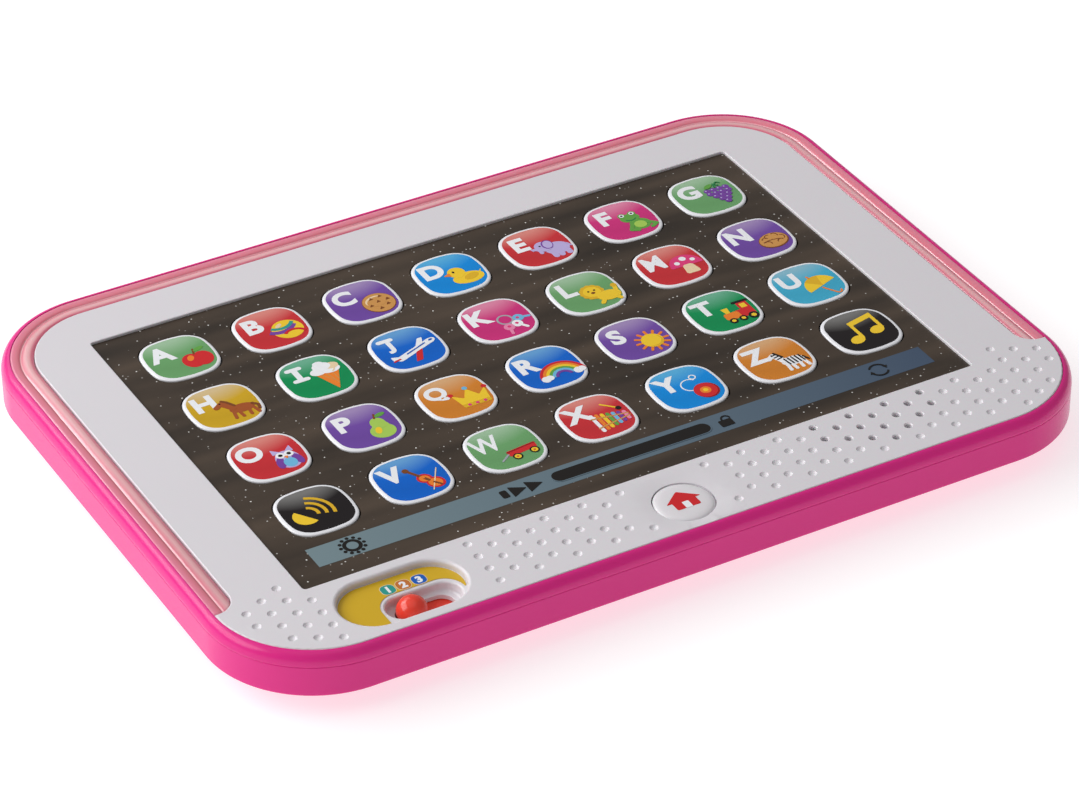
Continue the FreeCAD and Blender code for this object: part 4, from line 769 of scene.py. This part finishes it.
def key_cap(node, field):
    """The cap: a closed dome with the white border and the field."""
    low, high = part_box(node)
    middle = Vector(((low.x + high.x) / 2, (low.y + high.y) / 2, 0))
    base = film_top / MM
    bm = bmesh.new()
    half = (KEY_HALF - KEY_SIDE_BOW) * MM
    rounded_face(bm, half, half, KEY_CORNER * MM, (base + KEY_SECTION[0][1]) * MM, 10)
    bow_sides(bm, Vector((0, 0, 0)))
    bmesh.ops.translate(bm, vec=middle, verts=bm.verts)
    foot = bm.faces[:]
    loop, inset_before = list(bm.edges), KEY_SECTION[0][0]
    for inset, height in KEY_SECTION[1:]:
        loop = step_on(bm, loop, key_loop_move(inset - inset_before, base + height, middle))
        inset_before = inset
    border_faces = set(bm.faces)
    for inset in (FIELD_EDGE, *FIELD_INSETS):
        loop = step_on(bm, loop, key_loop_move(inset - inset_before, base, middle))
        inset_before = inset
    loop = step_on(bm, loop, lambda point: middle.lerp(point, FIELD_CORE))
    bmesh.ops.contextual_create(bm, geom=loop)
    for face in bm.faces:
        face.smooth = face not in foot
        face.material_index = 0 if face in border_faces else 1
    for vertex in {v for f in bm.faces if f not in border_faces for v in f.verts}:
        vertex.co.z = (base + on_field((vertex.co.x - middle.x) / MM, (vertex.co.y - middle.y) / MM)) * MM
    bmesh.ops.recalc_face_normals(bm, faces=bm.faces)
    place = bm.loops.layers.uv.new("key place")
    for face in bm.faces:
        for corner in face.loops:
            local = (corner.vert.co - middle) / (KEY_HALF * MM)
            corner[place].uv = (local.x, local.y)
    return finished(bm, node + "_cap", border_white, field), middle


fields = {slot: key_field("field " + slot, *colours) for slot, colours in FIELD_COLOURS_AND_SHEEN.items()}

LETTER_X, LETTER_Y, LETTER_HIGH, LETTER_BOLD = -4.2, 3.1, 6.9, 0.045
NARROWED = {"W": 0.78, "M": 0.88}


def letter(art, sign):
    """The key's white letter; I and J have bars."""
    bold = LETTER_BOLD * (0.5 if sign in NARROWED else 1.0)
    art.text("white", sign, LETTER_X, LETTER_Y, LETTER_HIGH, bold, wide=NARROWED.get(sign, 1.0))
    if sign in "IJ":
        top = LETTER_Y + LETTER_HIGH / 2 - 0.75
        art.line("white", 1.5, (LETTER_X - 1.7, top), (LETTER_X + 1.7, top))
    if sign == "I":
        foot = LETTER_Y - LETTER_HIGH / 2 + 0.75
        art.line("white", 1.5, (LETTER_X - 1.7, foot), (LETTER_X + 1.7, foot))


def apple(art):
    art.dot("red", 2.4, -3.3, 2.9, 3.3, 12)
    art.dot("red", 5.2, -3.3, 2.9, 3.3, -12)
    art.dot("orange", 2.2, -2.0, 0.9, 1.3, -25)
    art.line("brown", 0.6, (3.8, -0.6), (4.4, 1.6))
    art.dot("leaf", 5.8, 1.2, 1.7, 0.75, 20)


def ball(art):
    art.dot("yellow", 3.6, -2.2, 4.4)
    art.bow("violet", 1.7, 2.2, 5.2, 1.5, -128, -32)
    art.bow("teal", 2.3, 3.2, 4.6, 1.1, -128, -32)
    art.bow("red", 4.6, -6.4, 3.4, 0.9, 25, 140)
    art.dot("cream", 2.0, 0.2, 1.2, 0.6, 35)


def cookie(art):
    art.dot("brown", 3.5, -3.0, 4.7)
    art.dot("tan", 3.5, -2.9, 4.5)
    art.dot("cream", 2.8, -1.6, 2.9, 2.0, 20)
    art.dot("tan", 3.2, -2.3, 3.0, 2.2, 20)
    for x, y in ((1.0, -3.6), (3.6, -2.4), (5.0, -0.2), (2.2, -0.6), (5.6, -4.4), (3.0, -5.6), (6.4, -2.2)):
        art.shape("brown", [(x - 0.75, y - 0.5), (x + 0.7, y - 0.35), (x + 0.1, y + 0.7)], 0.2)


def duck(art):
    art.dot("yellow", 3.4, -3.9, 4.6, 2.7)
    art.shape("yellow", [(5.6, -4.2), (8.4, -1.4), (6.4, -5.2)], 0.5)
    art.dot("yellow", 1.4, -0.4, 2.5)
    art.dot("gold", 4.4, -3.7, 2.3, 1.3, 15)
    art.shape("orange", [(-2.6, -0.6), (-0.5, 0.3), (-0.5, -1.6)], 0.35)
    art.dot("black", 0.7, 0.1, 0.36, 0.5)


def elephant(art):
    art.dot("lilac", 4.4, -2.9, 3.7, 3.0)
    for x in (2.4, 4.2, 6.6):
        art.line("lilac", 1.7, (x, -4.2), (x, -6.4))
    art.dot("lilac", 1.2, -0.7, 2.5)
    art.dot("violet", 2.7, -0.3, 1.7, 2.2, -10)
    art.dot("lilac", 2.8, -0.3, 1.35, 1.85, -10)
    art.bow("lilac", -2.0, -2.6, 1.5, 1.1, -10, 110)
    art.line("lilac", 1.1, (-0.5, -1.4), (-0.55, -3.4))
    art.dot("black", 0.4, -0.2, 0.32)
    art.line("lilac", 0.5, (7.9, -2.2), (8.5, -3.6))


def frog(art):
    art.dot("leaf", 3.4, -3.6, 3.1, 2.7)
    art.dot("leaf", 2.2, 0.2, 2.9, 2.1)
    for x in (0.6, 3.7):
        art.dot("leaf", x, 2.0, 1.15)
        art.dot("white", x, 2.1, 0.75)
        art.dot("black", x, 2.1, 0.38)
    art.bow("green", 2.2, 0.9, 2.0, 0.35, -140, -40)
    art.dot("lime", 3.3, -3.9, 1.8, 1.7)
    art.line("leaf", 1.2, (5.6, -3.6), (7.6, -5.4), (5.8, -6.4))
    art.line("leaf", 1.2, (0.9, -3.4), (-0.4, -5.4), (1.4, -6.3))


def grapes(art):
    rows = ((4, 1.3), (4, -0.4), (3, -2.1), (2, -3.8), (1, -5.4))
    for count, y in rows:
        for i in range(count):
            x = 3.8 + (i - (count - 1) / 2) * 1.95
            art.dot("violet", x, y, 1.02)
            art.dot("lilac", x - 0.3, y + 0.35, 0.28, steps=10)
    art.line("green", 0.5, (3.8, 2.2), (4.1, 4.0))
    art.bow("green", 5.4, 3.6, 0.8, 0.35, 0, 270)
    art.dot("leaf", 2.2, 3.3, 1.5, 0.8, 25)


def horse(art):
    art.dot("chestnut", 3.8, -3.0, 3.5, 1.9)
    for x, lean in ((1.1, -0.5), (2.4, 0.3), (5.2, -0.2), (6.6, 0.6)):
        art.line("chestnut", 1.0, (x, -3.8), (x + lean, -6.6))
    art.line("chestnut", 2.1, (1.6, -2.0), (-0.2, 0.8))
    art.line("chestnut", 1.6, (-0.4, 1.0), (-2.2, -0.2))
    art.line("brown", 0.9, (2.4, -1.2), (1.2, 1.0), (0.2, 2.0))
    art.line("brown", 0.9, (7.0, -2.4), (8.2, -3.6), (7.9, -5.2))
    art.dot("black", -0.7, 1.1, 0.28)


def ice_cream(art):
    art.shape("orange", [(0.0, 0.4), (6.6, 0.4), (3.0, -7.6)], 0.3)
    for shift in (0.9, 2.5, 4.1):
        art.line("tan", 0.25, (shift + 0.4, 0.0), (shift * 0.45 + 2.9, -5.2 + abs(shift - 2.5)))
    art.dot("white", 1.1, 1.6, 2.2, 1.6)
    art.dot("white", 4.6, 1.6, 2.9, 1.8)
    art.dot("cream", 5.6, 2.9, 2.0, 1.5)
    art.dot("white", 3.0, 3.6, 2.6, 1.8)
    art.dot("white", 2.7, 5.0, 1.5, 1.1)
    art.bow("cream", 3.4, 2.6, 2.7, 0.4, -60, 40)


def jet(art):
    art.shape("red", [(0.9, -2.8), (3.2, -1.9), (1.0, -6.6), (-1.0, -6.8)], 0.3)
    art.line("white", 2.1, (-4.2, -3.8), (6.0, 0.2))
    art.dot("white", 6.4, 0.35, 1.9, 1.1, 20)
    art.shape("white", [(-6.4, -2.0), (-4.6, -2.6), (-3.6, -4.2), (-6.2, -4.4)], 0.4)
    art.shape("white", [(1.4, -1.2), (4.4, 0.2), (5.4, 2.8), (4.0, 2.8)], 0.3)
    art.line("blue", 0.45, (-1.6, -2.5), (4.8, 0.0))
    art.dot("blue", 6.9, 0.7, 0.7, 0.4, 20)
    art.line("red", 0.6, (-6.2, -4.2), (-4.4, -3.8))


def keys_on_ring(art):
    art.bow("grey", 1.6, -1.0, 2.1, 0.55, 0, 360)
    for turn, shade_name in ((-10, "sky"), (-55, "white"), (-100, "pink")):
        a = radians(turn)
        x, y = around(1.6, -1.0, 2.6, a)
        art.dot(shade_name, *around(x, y, 1.1, a), 1.55)
        art.line(shade_name, 0.9, around(x, y, 1.5, a), around(x, y, 4.2, a))
        art.dot("rose", *around(x, y, 0.9, a), 0.5)


def lion(art):
    for i in range(12):
        art.dot("gold", *around(1.4, -0.9, 2.5, 2 * pi * i / 12), 1.1, steps=14)
    art.dot("yellow", 1.4, -0.9, 2.5)
    art.dot("yellow", 4.9, -4.2, 3.5, 2.3)
    art.line("yellow", 1.2, (7.6, -3.4), (8.2, -1.0))
    art.dot("gold", 8.2, -0.6, 0.9)
    art.line("yellow", 1.3, (2.6, -5.6), (1.6, -6.8))
    art.line("yellow", 1.3, (6.4, -5.6), (7.0, -6.8))
    art.dot("brown", 1.4, -1.5, 0.6, 0.45)
    for x in (0.5, 2.3):
        art.dot("black", x, -0.4, 0.32)


def mushroom(art):
    art.shape("cream", [(2.2, -1.6), (5.2, -1.6), (5.9, -6.0), (1.5, -6.0)], 0.9)
    art.bow("rose", 3.7, -1.6, 2.4, 4.8, 0, 180)
    art.line("rose", 1.1, (-0.7, -1.6), (8.1, -1.6))
    for x, y, r in ((1.4, -0.2, 0.8), (3.9, 1.3, 1.0), (6.3, -0.1, 0.75)):
        art.dot("white", x, y, r)


def walnut(art):
    art.dot("brown", 3.6, -3.0, 4.6, 3.6, 10)
    art.dot("tan", 3.6, -2.8, 4.3, 3.3, 10)
    art.bow("brown", 3.0, -9.6, 7.0, 0.35, 60, 112)
    folds = (
        (1.6, -2.0, 20), (3.0, -1.0, 60), (4.9, -0.9, -30),
        (6.3, -2.4, -60), (1.4, -4.0, -20), (5.4, -4.2, 30),
    )
    for x, y, turn in folds:
        art.bow("brown", x, y, 1.0, 0.3, turn, turn + 150)


def owl(art):
    art.dot("lilac", 3.8, -3.4, 3.3, 3.9)
    art.shape("lilac", [(0.9, -0.4), (1.1, 2.2), (3.2, 0.2)], 0.3)
    art.shape("lilac", [(6.7, -0.4), (6.5, 2.2), (4.4, 0.2)], 0.3)
    art.dot("violet", 1.4, -4.2, 1.2, 2.4, -12)
    art.dot("violet", 6.2, -4.2, 1.2, 2.4, 12)
    art.dot("sky", 3.8, -4.8, 1.8, 2.0)
    for x in (2.6, 5.0):
        art.dot("white", x, -1.2, 1.25)
        art.dot("black", x, -1.2, 0.6)
    art.shape("orange", [(3.2, -1.9), (4.4, -1.9), (3.8, -3.2)], 0.2)


def pear(art):
    art.dot("lime", 3.6, -4.2, 3.5, 3.1)
    art.dot("lime", 3.9, -0.6, 2.1, 2.5)
    art.shape("lime", [(1.4, -2.4), (2.2, -0.4), (5.8, -0.4), (6.5, -2.4)], 0.5)
    art.dot("yellow", 2.6, -3.6, 0.9, 1.5, -20)
    art.line("brown", 0.6, (4.0, 1.7), (4.6, 3.4))
    art.dot("leaf", 6.0, 2.7, 1.6, 0.75, 15)


def crown(art):
    points = [(-0.2, -5.4), (7.6, -5.4), (8.6, 0.6), (5.9, -1.9), (3.7, 2.0), (1.5, -1.9), (-1.2, 0.6)]
    art.shape("yellow", points, 0.3)
    art.shape("gold", [(-0.3, -5.8), (7.7, -5.8), (7.8, -4.3), (-0.4, -4.3)], 0.4)
    for x, y, name in ((-1.2, 0.9, "red"), (3.7, 2.3, "sky"), (8.6, 0.9, "red")):
        art.dot(name, x, y, 0.75)
    for x in (1.4, 3.7, 6.0):
        art.dot("rose", x, -5.05, 0.5)


def rainbow(art):
    bands = ("red", "orange", "yellow", "leaf", "sky", "violet")
    for i, name in enumerate(bands):
        art.bow(name, 2.6, -5.6, 6.4 - i * 0.85, 0.87, 8, 172)
    for x in (-2.2, 7.4):
        art.dot("white", x - 0.6, -5.0, 1.3)
        art.dot("white", x + 0.6, -4.8, 1.1)


def sun(art):
    for i in range(12):
        a = 2 * pi * i / 12
        art.line("orange", 0.8, around(3.6, -2.8, 3.2, a), around(3.6, -2.8, 4.6, a))
    art.dot("yellow", 3.6, -2.8, 3.1)
    art.dot("gold", 4.0, -3.2, 2.5)
    art.dot("yellow", 3.5, -2.7, 2.5)


def train(art):
    art.shape("red", [(2.6, -5.2), (7.8, -5.2), (7.8, 1.6), (4.6, 1.6), (4.6, -1.6), (2.6, -1.6)], 0.3)
    art.block("yellow", 5.3, -1.2, 7.1, 0.8, 0.2)
    art.block("orange", -1.2, -5.0, 3.4, -1.8, 0.9)
    art.line("black", 1.0, (4.2, 1.9), (8.2, 1.9))
    art.shape("yellow", [(0.0, -1.9), (1.2, -1.9), (1.6, 0.6), (-0.4, 0.6)], 0.15)
    for x, r in ((0.2, 1.2), (3.2, 1.2), (6.4, 1.5)):
        art.dot("black", x, -5.6, r)
        art.dot("yellow", x, -5.6, r * 0.5)


def umbrella(art):
    art.bow("yellow", 3.0, -2.6, 2.5, 5.0, 20, 200)
    art.bow("gold", 3.0, -2.6, 2.5, 5.0, 80, 140)
    for turn in (35, 80, 125, 170):    # specks between the ribs, too small to see
        art.dot("sky", *around(3.0, -2.6, 4.4, radians(turn + 2) - 0.5), 0.0001, steps=3)
    art.line("orange", 0.5, (2.4, -3.6), (4.6, -7.2))
    art.bow("orange", 5.4, -6.8, 0.9, 0.5, -160, 20)
    art.line("orange", 0.5, (1.4, 2.0), (1.1, 2.9))


def violin(art):
    art.dot("red", 4.6, -4.6, 2.5, 2.3, -35)
    art.dot("red", 2.7, -1.9, 2.1, 1.9, -35)
    art.dot("orange", 4.5, -4.6, 1.9, 1.7, -35)
    art.dot("orange", 2.7, -2.0, 1.5, 1.3, -35)
    art.line("brown", 0.9, (3.4, -3.0), (0.2, 2.6))
    art.dot("brown", -0.2, 3.2, 0.9)
    art.line("brown", 0.7, (4.2, -4.4), (5.4, -6.0))
    art.line("cream", 0.3, (7.4, 0.8), (2.6, -7.2))


def wagon(art):
    art.shape("red", [(-0.8, -4.6), (7.4, -3.6), (7.7, -1.2), (-1.1, -2.2)], 0.4)
    art.line("dark red", 0.5, (-0.9, -2.6), (7.4, -1.6))
    for x, y in ((0.9, -5.2), (6.1, -4.6)):
        art.dot("black", x, y, 1.35)
        art.dot("yellow", x, y, 0.9)
        art.dot("red", x, y, 0.35)
    art.line("grey", 0.5, (-1.0, -3.6), (-3.6, -5.4))


def xylophone(art):
    bars = ("white", "orange", "yellow", "leaf", "sky", "violet", "pink")
    for i, name in enumerate(bars):
        x = -1.4 + i * 1.45
        art.line(name, 1.05, (x, -6.4 + i * 0.35), (x, 0.9 - i * 0.35))
    art.line("tan", 0.5, (-2.0, -5.0), (8.0, -3.2))
    art.line("tan", 0.5, (-2.0, -0.6), (8.0, -2.2))
    art.line("yellow", 0.5, (3.4, 4.4), (6.6, 1.2))
    art.dot("black", 6.9, 0.9, 0.8)


def yo_yo(art):
    art.bow("white", 1.4, 0.4, 2.6, 0.35, 40, 250)
    art.line("white", 0.35, (0.5, -2.0), (3.0, -2.6))
    art.bow("white", 3.6, 3.4, 0.9, 0.35, 0, 360)
    art.dot("dark red", 4.0, -3.6, 3.4)
    art.dot("red", 3.7, -3.4, 3.2)
    art.dot("orange", 3.7, -3.4, 1.5)
    art.dot("yellow", 3.7, -3.4, 0.7)


def zebra(art):
    art.dot("white", 3.8, -3.0, 3.4, 1.9)
    for x, lean in ((1.4, -0.3), (2.7, 0.2), (5.0, -0.2), (6.4, 0.4)):
        art.line("white", 1.0, (x, -3.8), (x + lean, -6.6))
    art.line("white", 2.0, (1.4, -2.0), (0.2, 1.0))
    art.line("white", 1.5, (0.0, 1.3), (-1.8, 0.2))
    for x in (1.8, 2.9, 4.0, 5.1, 6.2):
        art.line("black", 0.5, (x, -1.5), (x + 0.4, -4.3))
    for y in (-1.0, 0.0, 1.0):
        art.line("black", 0.4, (y * -0.35 - 0.1, y + 0.1), (y * -0.35 + 1.3, y + 0.4))
    art.line("black", 0.7, (1.9, -0.4), (0.7, 2.0))
    art.dot("black", -0.3, 1.4, 0.25)
    art.line("black", 0.5, (7.0, -2.6), (7.8, -4.4))


def sound(art):
    art.bow("yellow", -3.6, -1.6, 1.75, 3.5, 125, 305)
    for radius in (2.9, 5.0, 7.1):
        art.bow("gold", -3.0, -1.2, radius, 0.95, -18, 72)


def notes(art):
    art.dot("yellow", -3.2, -3.4, 2.2, 1.7, 20)
    art.dot("yellow", 3.9, -1.7, 2.2, 1.7, 20)
    art.line("yellow", 1.0, (-1.4, -2.9), (-1.4, 3.6))
    art.line("yellow", 1.0, (5.7, -1.2), (5.7, 5.4))
    art.shape("yellow", [(-1.9, 2.6), (6.2, 4.4), (6.2, 6.3), (-1.9, 4.5)], 0.2)


PICTURES = dict(
    a=apple, b=ball, c=cookie, d=duck, e=elephant, f=frog, g=grapes, h=horse, i=ice_cream, j=jet,
    k=keys_on_ring, l=lion, m=mushroom, n=walnut, o=owl, p=pear, q=crown, r=rainbow, s=sun, t=train,
    u=umbrella, v=violin, w=wagon, x=xylophone, y=yo_yo, z=zebra,
)
for key_node in sorted(n for n in frame["nodes"] if "key_" in n and body_of(n) == n):
    field_name = "key_bright_blue" if key_node in BRIGHT_BLUE_KEYS else slot_of(key_node)
    cap, key_middle = key_cap(key_node, fields[field_name])
    fit(cap, key_node, slot_of(key_node), key_node)
    key_art = Print()
    sign = key_node[-1]
    if key_node == "key_sound":
        sound(key_art)
    elif key_node == "key_music":
        notes(key_art)
    else:
        letter(key_art, sign.upper())
        PICTURES[sign](key_art)
    art_mesh = key_art.lay(key_node + "_print", lambda x, y: film_top / MM + on_field(x, y))
    art_mesh.data.transform(Matrix.Translation(key_middle))
    fit(art_mesh, key_node, slot_of(key_node))

paint(moulded("silicone mat", (0.45, 0.45, 0.46), roughness=0.6, cloud=0.05), "keypad_mat")
paint(moulded("polyester membrane", (0.55, 0.58, 0.60), roughness=0.2), "key_membrane")

# ---- Home button --------------------------------------------------------------------------------
# A round white button, crowned, in a shallow dish. It clicks a small switch below. A plain little
# house is printed on it.

HOME_STEPS = 72
home_low, home_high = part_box("home_button")
home_middle = (home_low + home_high) / 2
home_top = home_high.z
HOME_SECTION = (
    # distance from the axis and height below the top, in mm, from the crown round to the foot
    (0.0, 0.00), (2.6, -0.01), (4.8, -0.03), (6.2, -0.10), (7.2, -0.26), (7.8, -0.52), (8.1, -0.95),
    (8.1, -2.3), (9.3, -2.3), (9.3, -3.2), (0.0, -3.2),
)

bm = bmesh.new()
turned = [bm.verts.new((x * MM, 0, home_top + z * MM)) for x, z in HOME_SECTION]
spine = [bm.edges.new(pair) for pair in zip(turned, turned[1:])]
bmesh.ops.spin(
    bm, geom=turned + spine, cent=(0, 0, 0), axis=(0, 0, 1), angle=2 * pi, steps=HOME_STEPS, use_merge=True
)
bmesh.ops.remove_doubles(bm, verts=bm.verts, dist=1e-6)
bmesh.ops.recalc_face_normals(bm, faces=bm.faces)
bmesh.ops.translate(bm, vec=(home_middle.x, home_middle.y, 0), verts=bm.verts)
soften(bm, 35)
button_white = moulded("home button ABS", (0.76, 0.73, 0.76), roughness=0.26, cloud=0.01, glow=0.08)
home_button = finished(bm, "home_button_cap", button_white)
fit(home_button, "home_button", "home_button", "home_button")

house = Print()
house.block("red", -3.4, -3.0, 3.4, 0.6, 0.5)
house.shape("red", [(-5.0, 0.1), (5.0, 0.1), (0.0, 4.2)], 0.5)
house.block("white", -0.95, -3.1, 0.95, -0.4, 0.3)


def on_button(x, y):
    """Height of the home button's crown."""
    distance = sqrt(x * x + y * y)
    for (inner, high), (outer, low) in zip(HOME_SECTION, HOME_SECTION[1:]):
        if distance <= outer:
            return home_top / MM + high + (low - high) * (distance - inner) / (outer - inner)
    return home_top / MM


house_print = house.lay("home_button_print", on_button, lift=0.05, sink=0.15)
house_print.data.transform(Matrix.Translation((home_middle.x, home_middle.y, 0)))
fit(house_print, "home_button", "home_button")

# ---- Stage switch -------------------------------------------------------------------------------
# A yellow printed label on the tray's floor, with figures 1, 2 and 3 on rounded badges, and a red
# ball knob that slides in the bowl beside it. The knob and its slide plate are one glossy moulding.

BADGE_Y = -68.25

label_yellow = moulded("stage label print", (0.640, 0.400, 0.008), roughness=0.3, cloud=0.05, grain=0.000002)
paint(label_yellow, "stage_label")
label_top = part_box("stage_label")[1].z

badges = Print()
for figure, x, name in (("1", -80.1, "teal"), ("2", -75.85, "amber"), ("3", -71.5, "blue")):
    for reach, each in ((2.0, "cream"), (1.85, name)):
        badges.block(each, x - reach, BADGE_Y - reach, x + reach, BADGE_Y + reach, reach * 0.75)
    badges.text("white", figure, x, BADGE_Y, 2.6, 0.055)
badge_print = badges.lay("stage_badges", lambda x, y: label_top / MM)
fit(badge_print, "tablet", "stage_label")

knob_red = moulded("stage knob ABS", (0.850, 0.055, 0.030), roughness=0.16, cloud=0.02, glow=0.15)
welded("stage_slider", knob_red, crease=45.0)

# ---- Inside and back ----------------------------------------------------------------------------
# Boards, switches, speaker, cells and wiring, and the screws and power knob on the back. Each gets
# the finish of its real material.

metal_steel, steel_shader = new_material("zinc-plated steel")
steel_tone = between(metal_steel, noise(metal_steel, 900.0), (0.42, 0.42, 0.43, 1), (0.58, 0.57, 0.55, 1))
join(metal_steel, steel_tone, steel_shader.inputs["Base Color"])
put(steel_shader, Metallic=1.0)
steel_wear = spread(metal_steel, noise(metal_steel, 1500.0), 0.25, 0.4)
join(metal_steel, steel_wear, steel_shader.inputs["Roughness"])
paint(metal_steel, "housing_screws", "board_screws", "battery_door_screw")
paint(metal_steel, "speaker_frame", "contact_plates", "contact_springs")
paint(moulded("solder mask", (0.010, 0.110, 0.040), roughness=0.3, cloud=0.15), "main_board", "control_board")
switch_case = moulded("switch case", (0.02, 0.02, 0.02), roughness=0.5)
paint(switch_case, "main_chip", "home_switch", "stage_switch_body", "power_switch_body")
paint(moulded("speaker cone", (0.03, 0.03, 0.03), roughness=0.45, cloud=0.2), "speaker_cone")
paint(moulded("foam", (0.04, 0.04, 0.04), roughness=0.9, grain=0.00005, grain_scale=1800.0), "speaker_gasket")
paint(moulded("cell sleeve", (0.02, 0.06, 0.20), roughness=0.3, cloud=0.1), "aaa_cells")
paint(moulded("red insulation", (0.5, 0.02, 0.02), roughness=0.4), "battery_wires")
paint(moulded("black insulation", (0.02, 0.02, 0.02), roughness=0.4), "speaker_wires")
paint(moulded("power knob", (0.02, 0.02, 0.022), roughness=0.5), "power_switch_knob")

# ---- Studio -------------------------------------------------------------------------------------
# A plain pale floor, a soft white surround and three large soft lights; a long lens from the
# front left.

FLOOR_HALF = 3.0
FLOOR_DROP = -0.0003
FLOOR_GLOW = 0.64
SURROUND_STRENGTH = 0.30
bm = bmesh.new()
bmesh.ops.create_grid(bm, x_segments=1, y_segments=1, size=FLOOR_HALF)
floor_paint, floor_shader = new_material("pale studio floor")
floor_tone = between(floor_paint, noise(floor_paint, 3.0), (0.54, 0.54, 0.54, 1), (0.56, 0.56, 0.56, 1))
join(floor_paint, floor_tone, floor_shader.inputs["Base Color"])
put(floor_shader, Roughness=0.9, Emission_Color=(1.0, 1.0, 1.0, 1.0), Emission_Strength=FLOOR_GLOW)
bmesh.ops.translate(bm, vec=(0, 0, FLOOR_DROP), verts=bm.verts)
floor = finished(bm, "studio_floor", floor_paint)

surround = bpy.data.worlds.new("studio surround")
surround.use_nodes = True
put(surround.node_tree.nodes["Background"], Color=(1.0, 1.0, 1.0, 1.0), Strength=SURROUND_STRENGTH)
scene.world = surround


def soft_light(name, place, aim, wide, high, power):
    """A large rectangular soft light, aimed at a point."""
    lamp = bpy.data.lights.new(name, "AREA")
    lamp.shape = "RECTANGLE"
    lamp.size, lamp.size_y = wide, high
    lamp.energy = power
    holder = bpy.data.objects.new(name, lamp)
    holder.location = place
    holder.rotation_euler = (Vector(aim) - Vector(place)).to_track_quat("-Z", "Y").to_euler()
    scene.collection.objects.link(holder)


soft_light("overhead", (-0.15, 0.0, 1.3), (0, 0, 0), 1.4, 1.2, 2.0)
soft_light("left", (-1.15, 0.65, 0.95), (0, 0, 0), 2.0, 1.0, 24.0)
soft_light("back", (-0.40, 1.20, 0.95), (0, 0, 0), 1.3, 0.8, 4.0)

# The camera: a 143 mm lens about 1.13 m away, 30 degrees to the left and 35 degrees up.
CAMERA_AZIMUTH, CAMERA_HEIGHT, CAMERA_ROLL = radians(-29.52), radians(34.60), radians(-0.167)
CAMERA_DISTANCE = 1.13252
CAMERA_TARGET = Vector((-0.81, -3.80, 6.5)) * MM
CAMERA_LENS = 142.87
back = Vector((
    sin(CAMERA_AZIMUTH) * cos(CAMERA_HEIGHT), -cos(CAMERA_AZIMUTH) * cos(CAMERA_HEIGHT), sin(CAMERA_HEIGHT)
))
right = (-back).cross(Vector((0, 0, 1))).normalized()
up = right.cross(-back)
turned_right = cos(CAMERA_ROLL) * right + sin(CAMERA_ROLL) * up
turned_up = -sin(CAMERA_ROLL) * right + cos(CAMERA_ROLL) * up
lens = bpy.data.cameras.new("camera")
lens.lens, lens.sensor_width = CAMERA_LENS, 36.0
lens.clip_start, lens.clip_end = 0.05, 20.0
camera = bpy.data.objects.new("camera", lens)
camera.matrix_world = Matrix.Translation(CAMERA_TARGET + back * CAMERA_DISTANCE) @ Matrix((
    (turned_right.x, turned_up.x, back.x, 0),
    (turned_right.y, turned_up.y, back.y, 0),
    (turned_right.z, turned_up.z, back.z, 0),
    (0, 0, 0, 1),
))
scene.collection.objects.link(camera)
scene.camera = camera
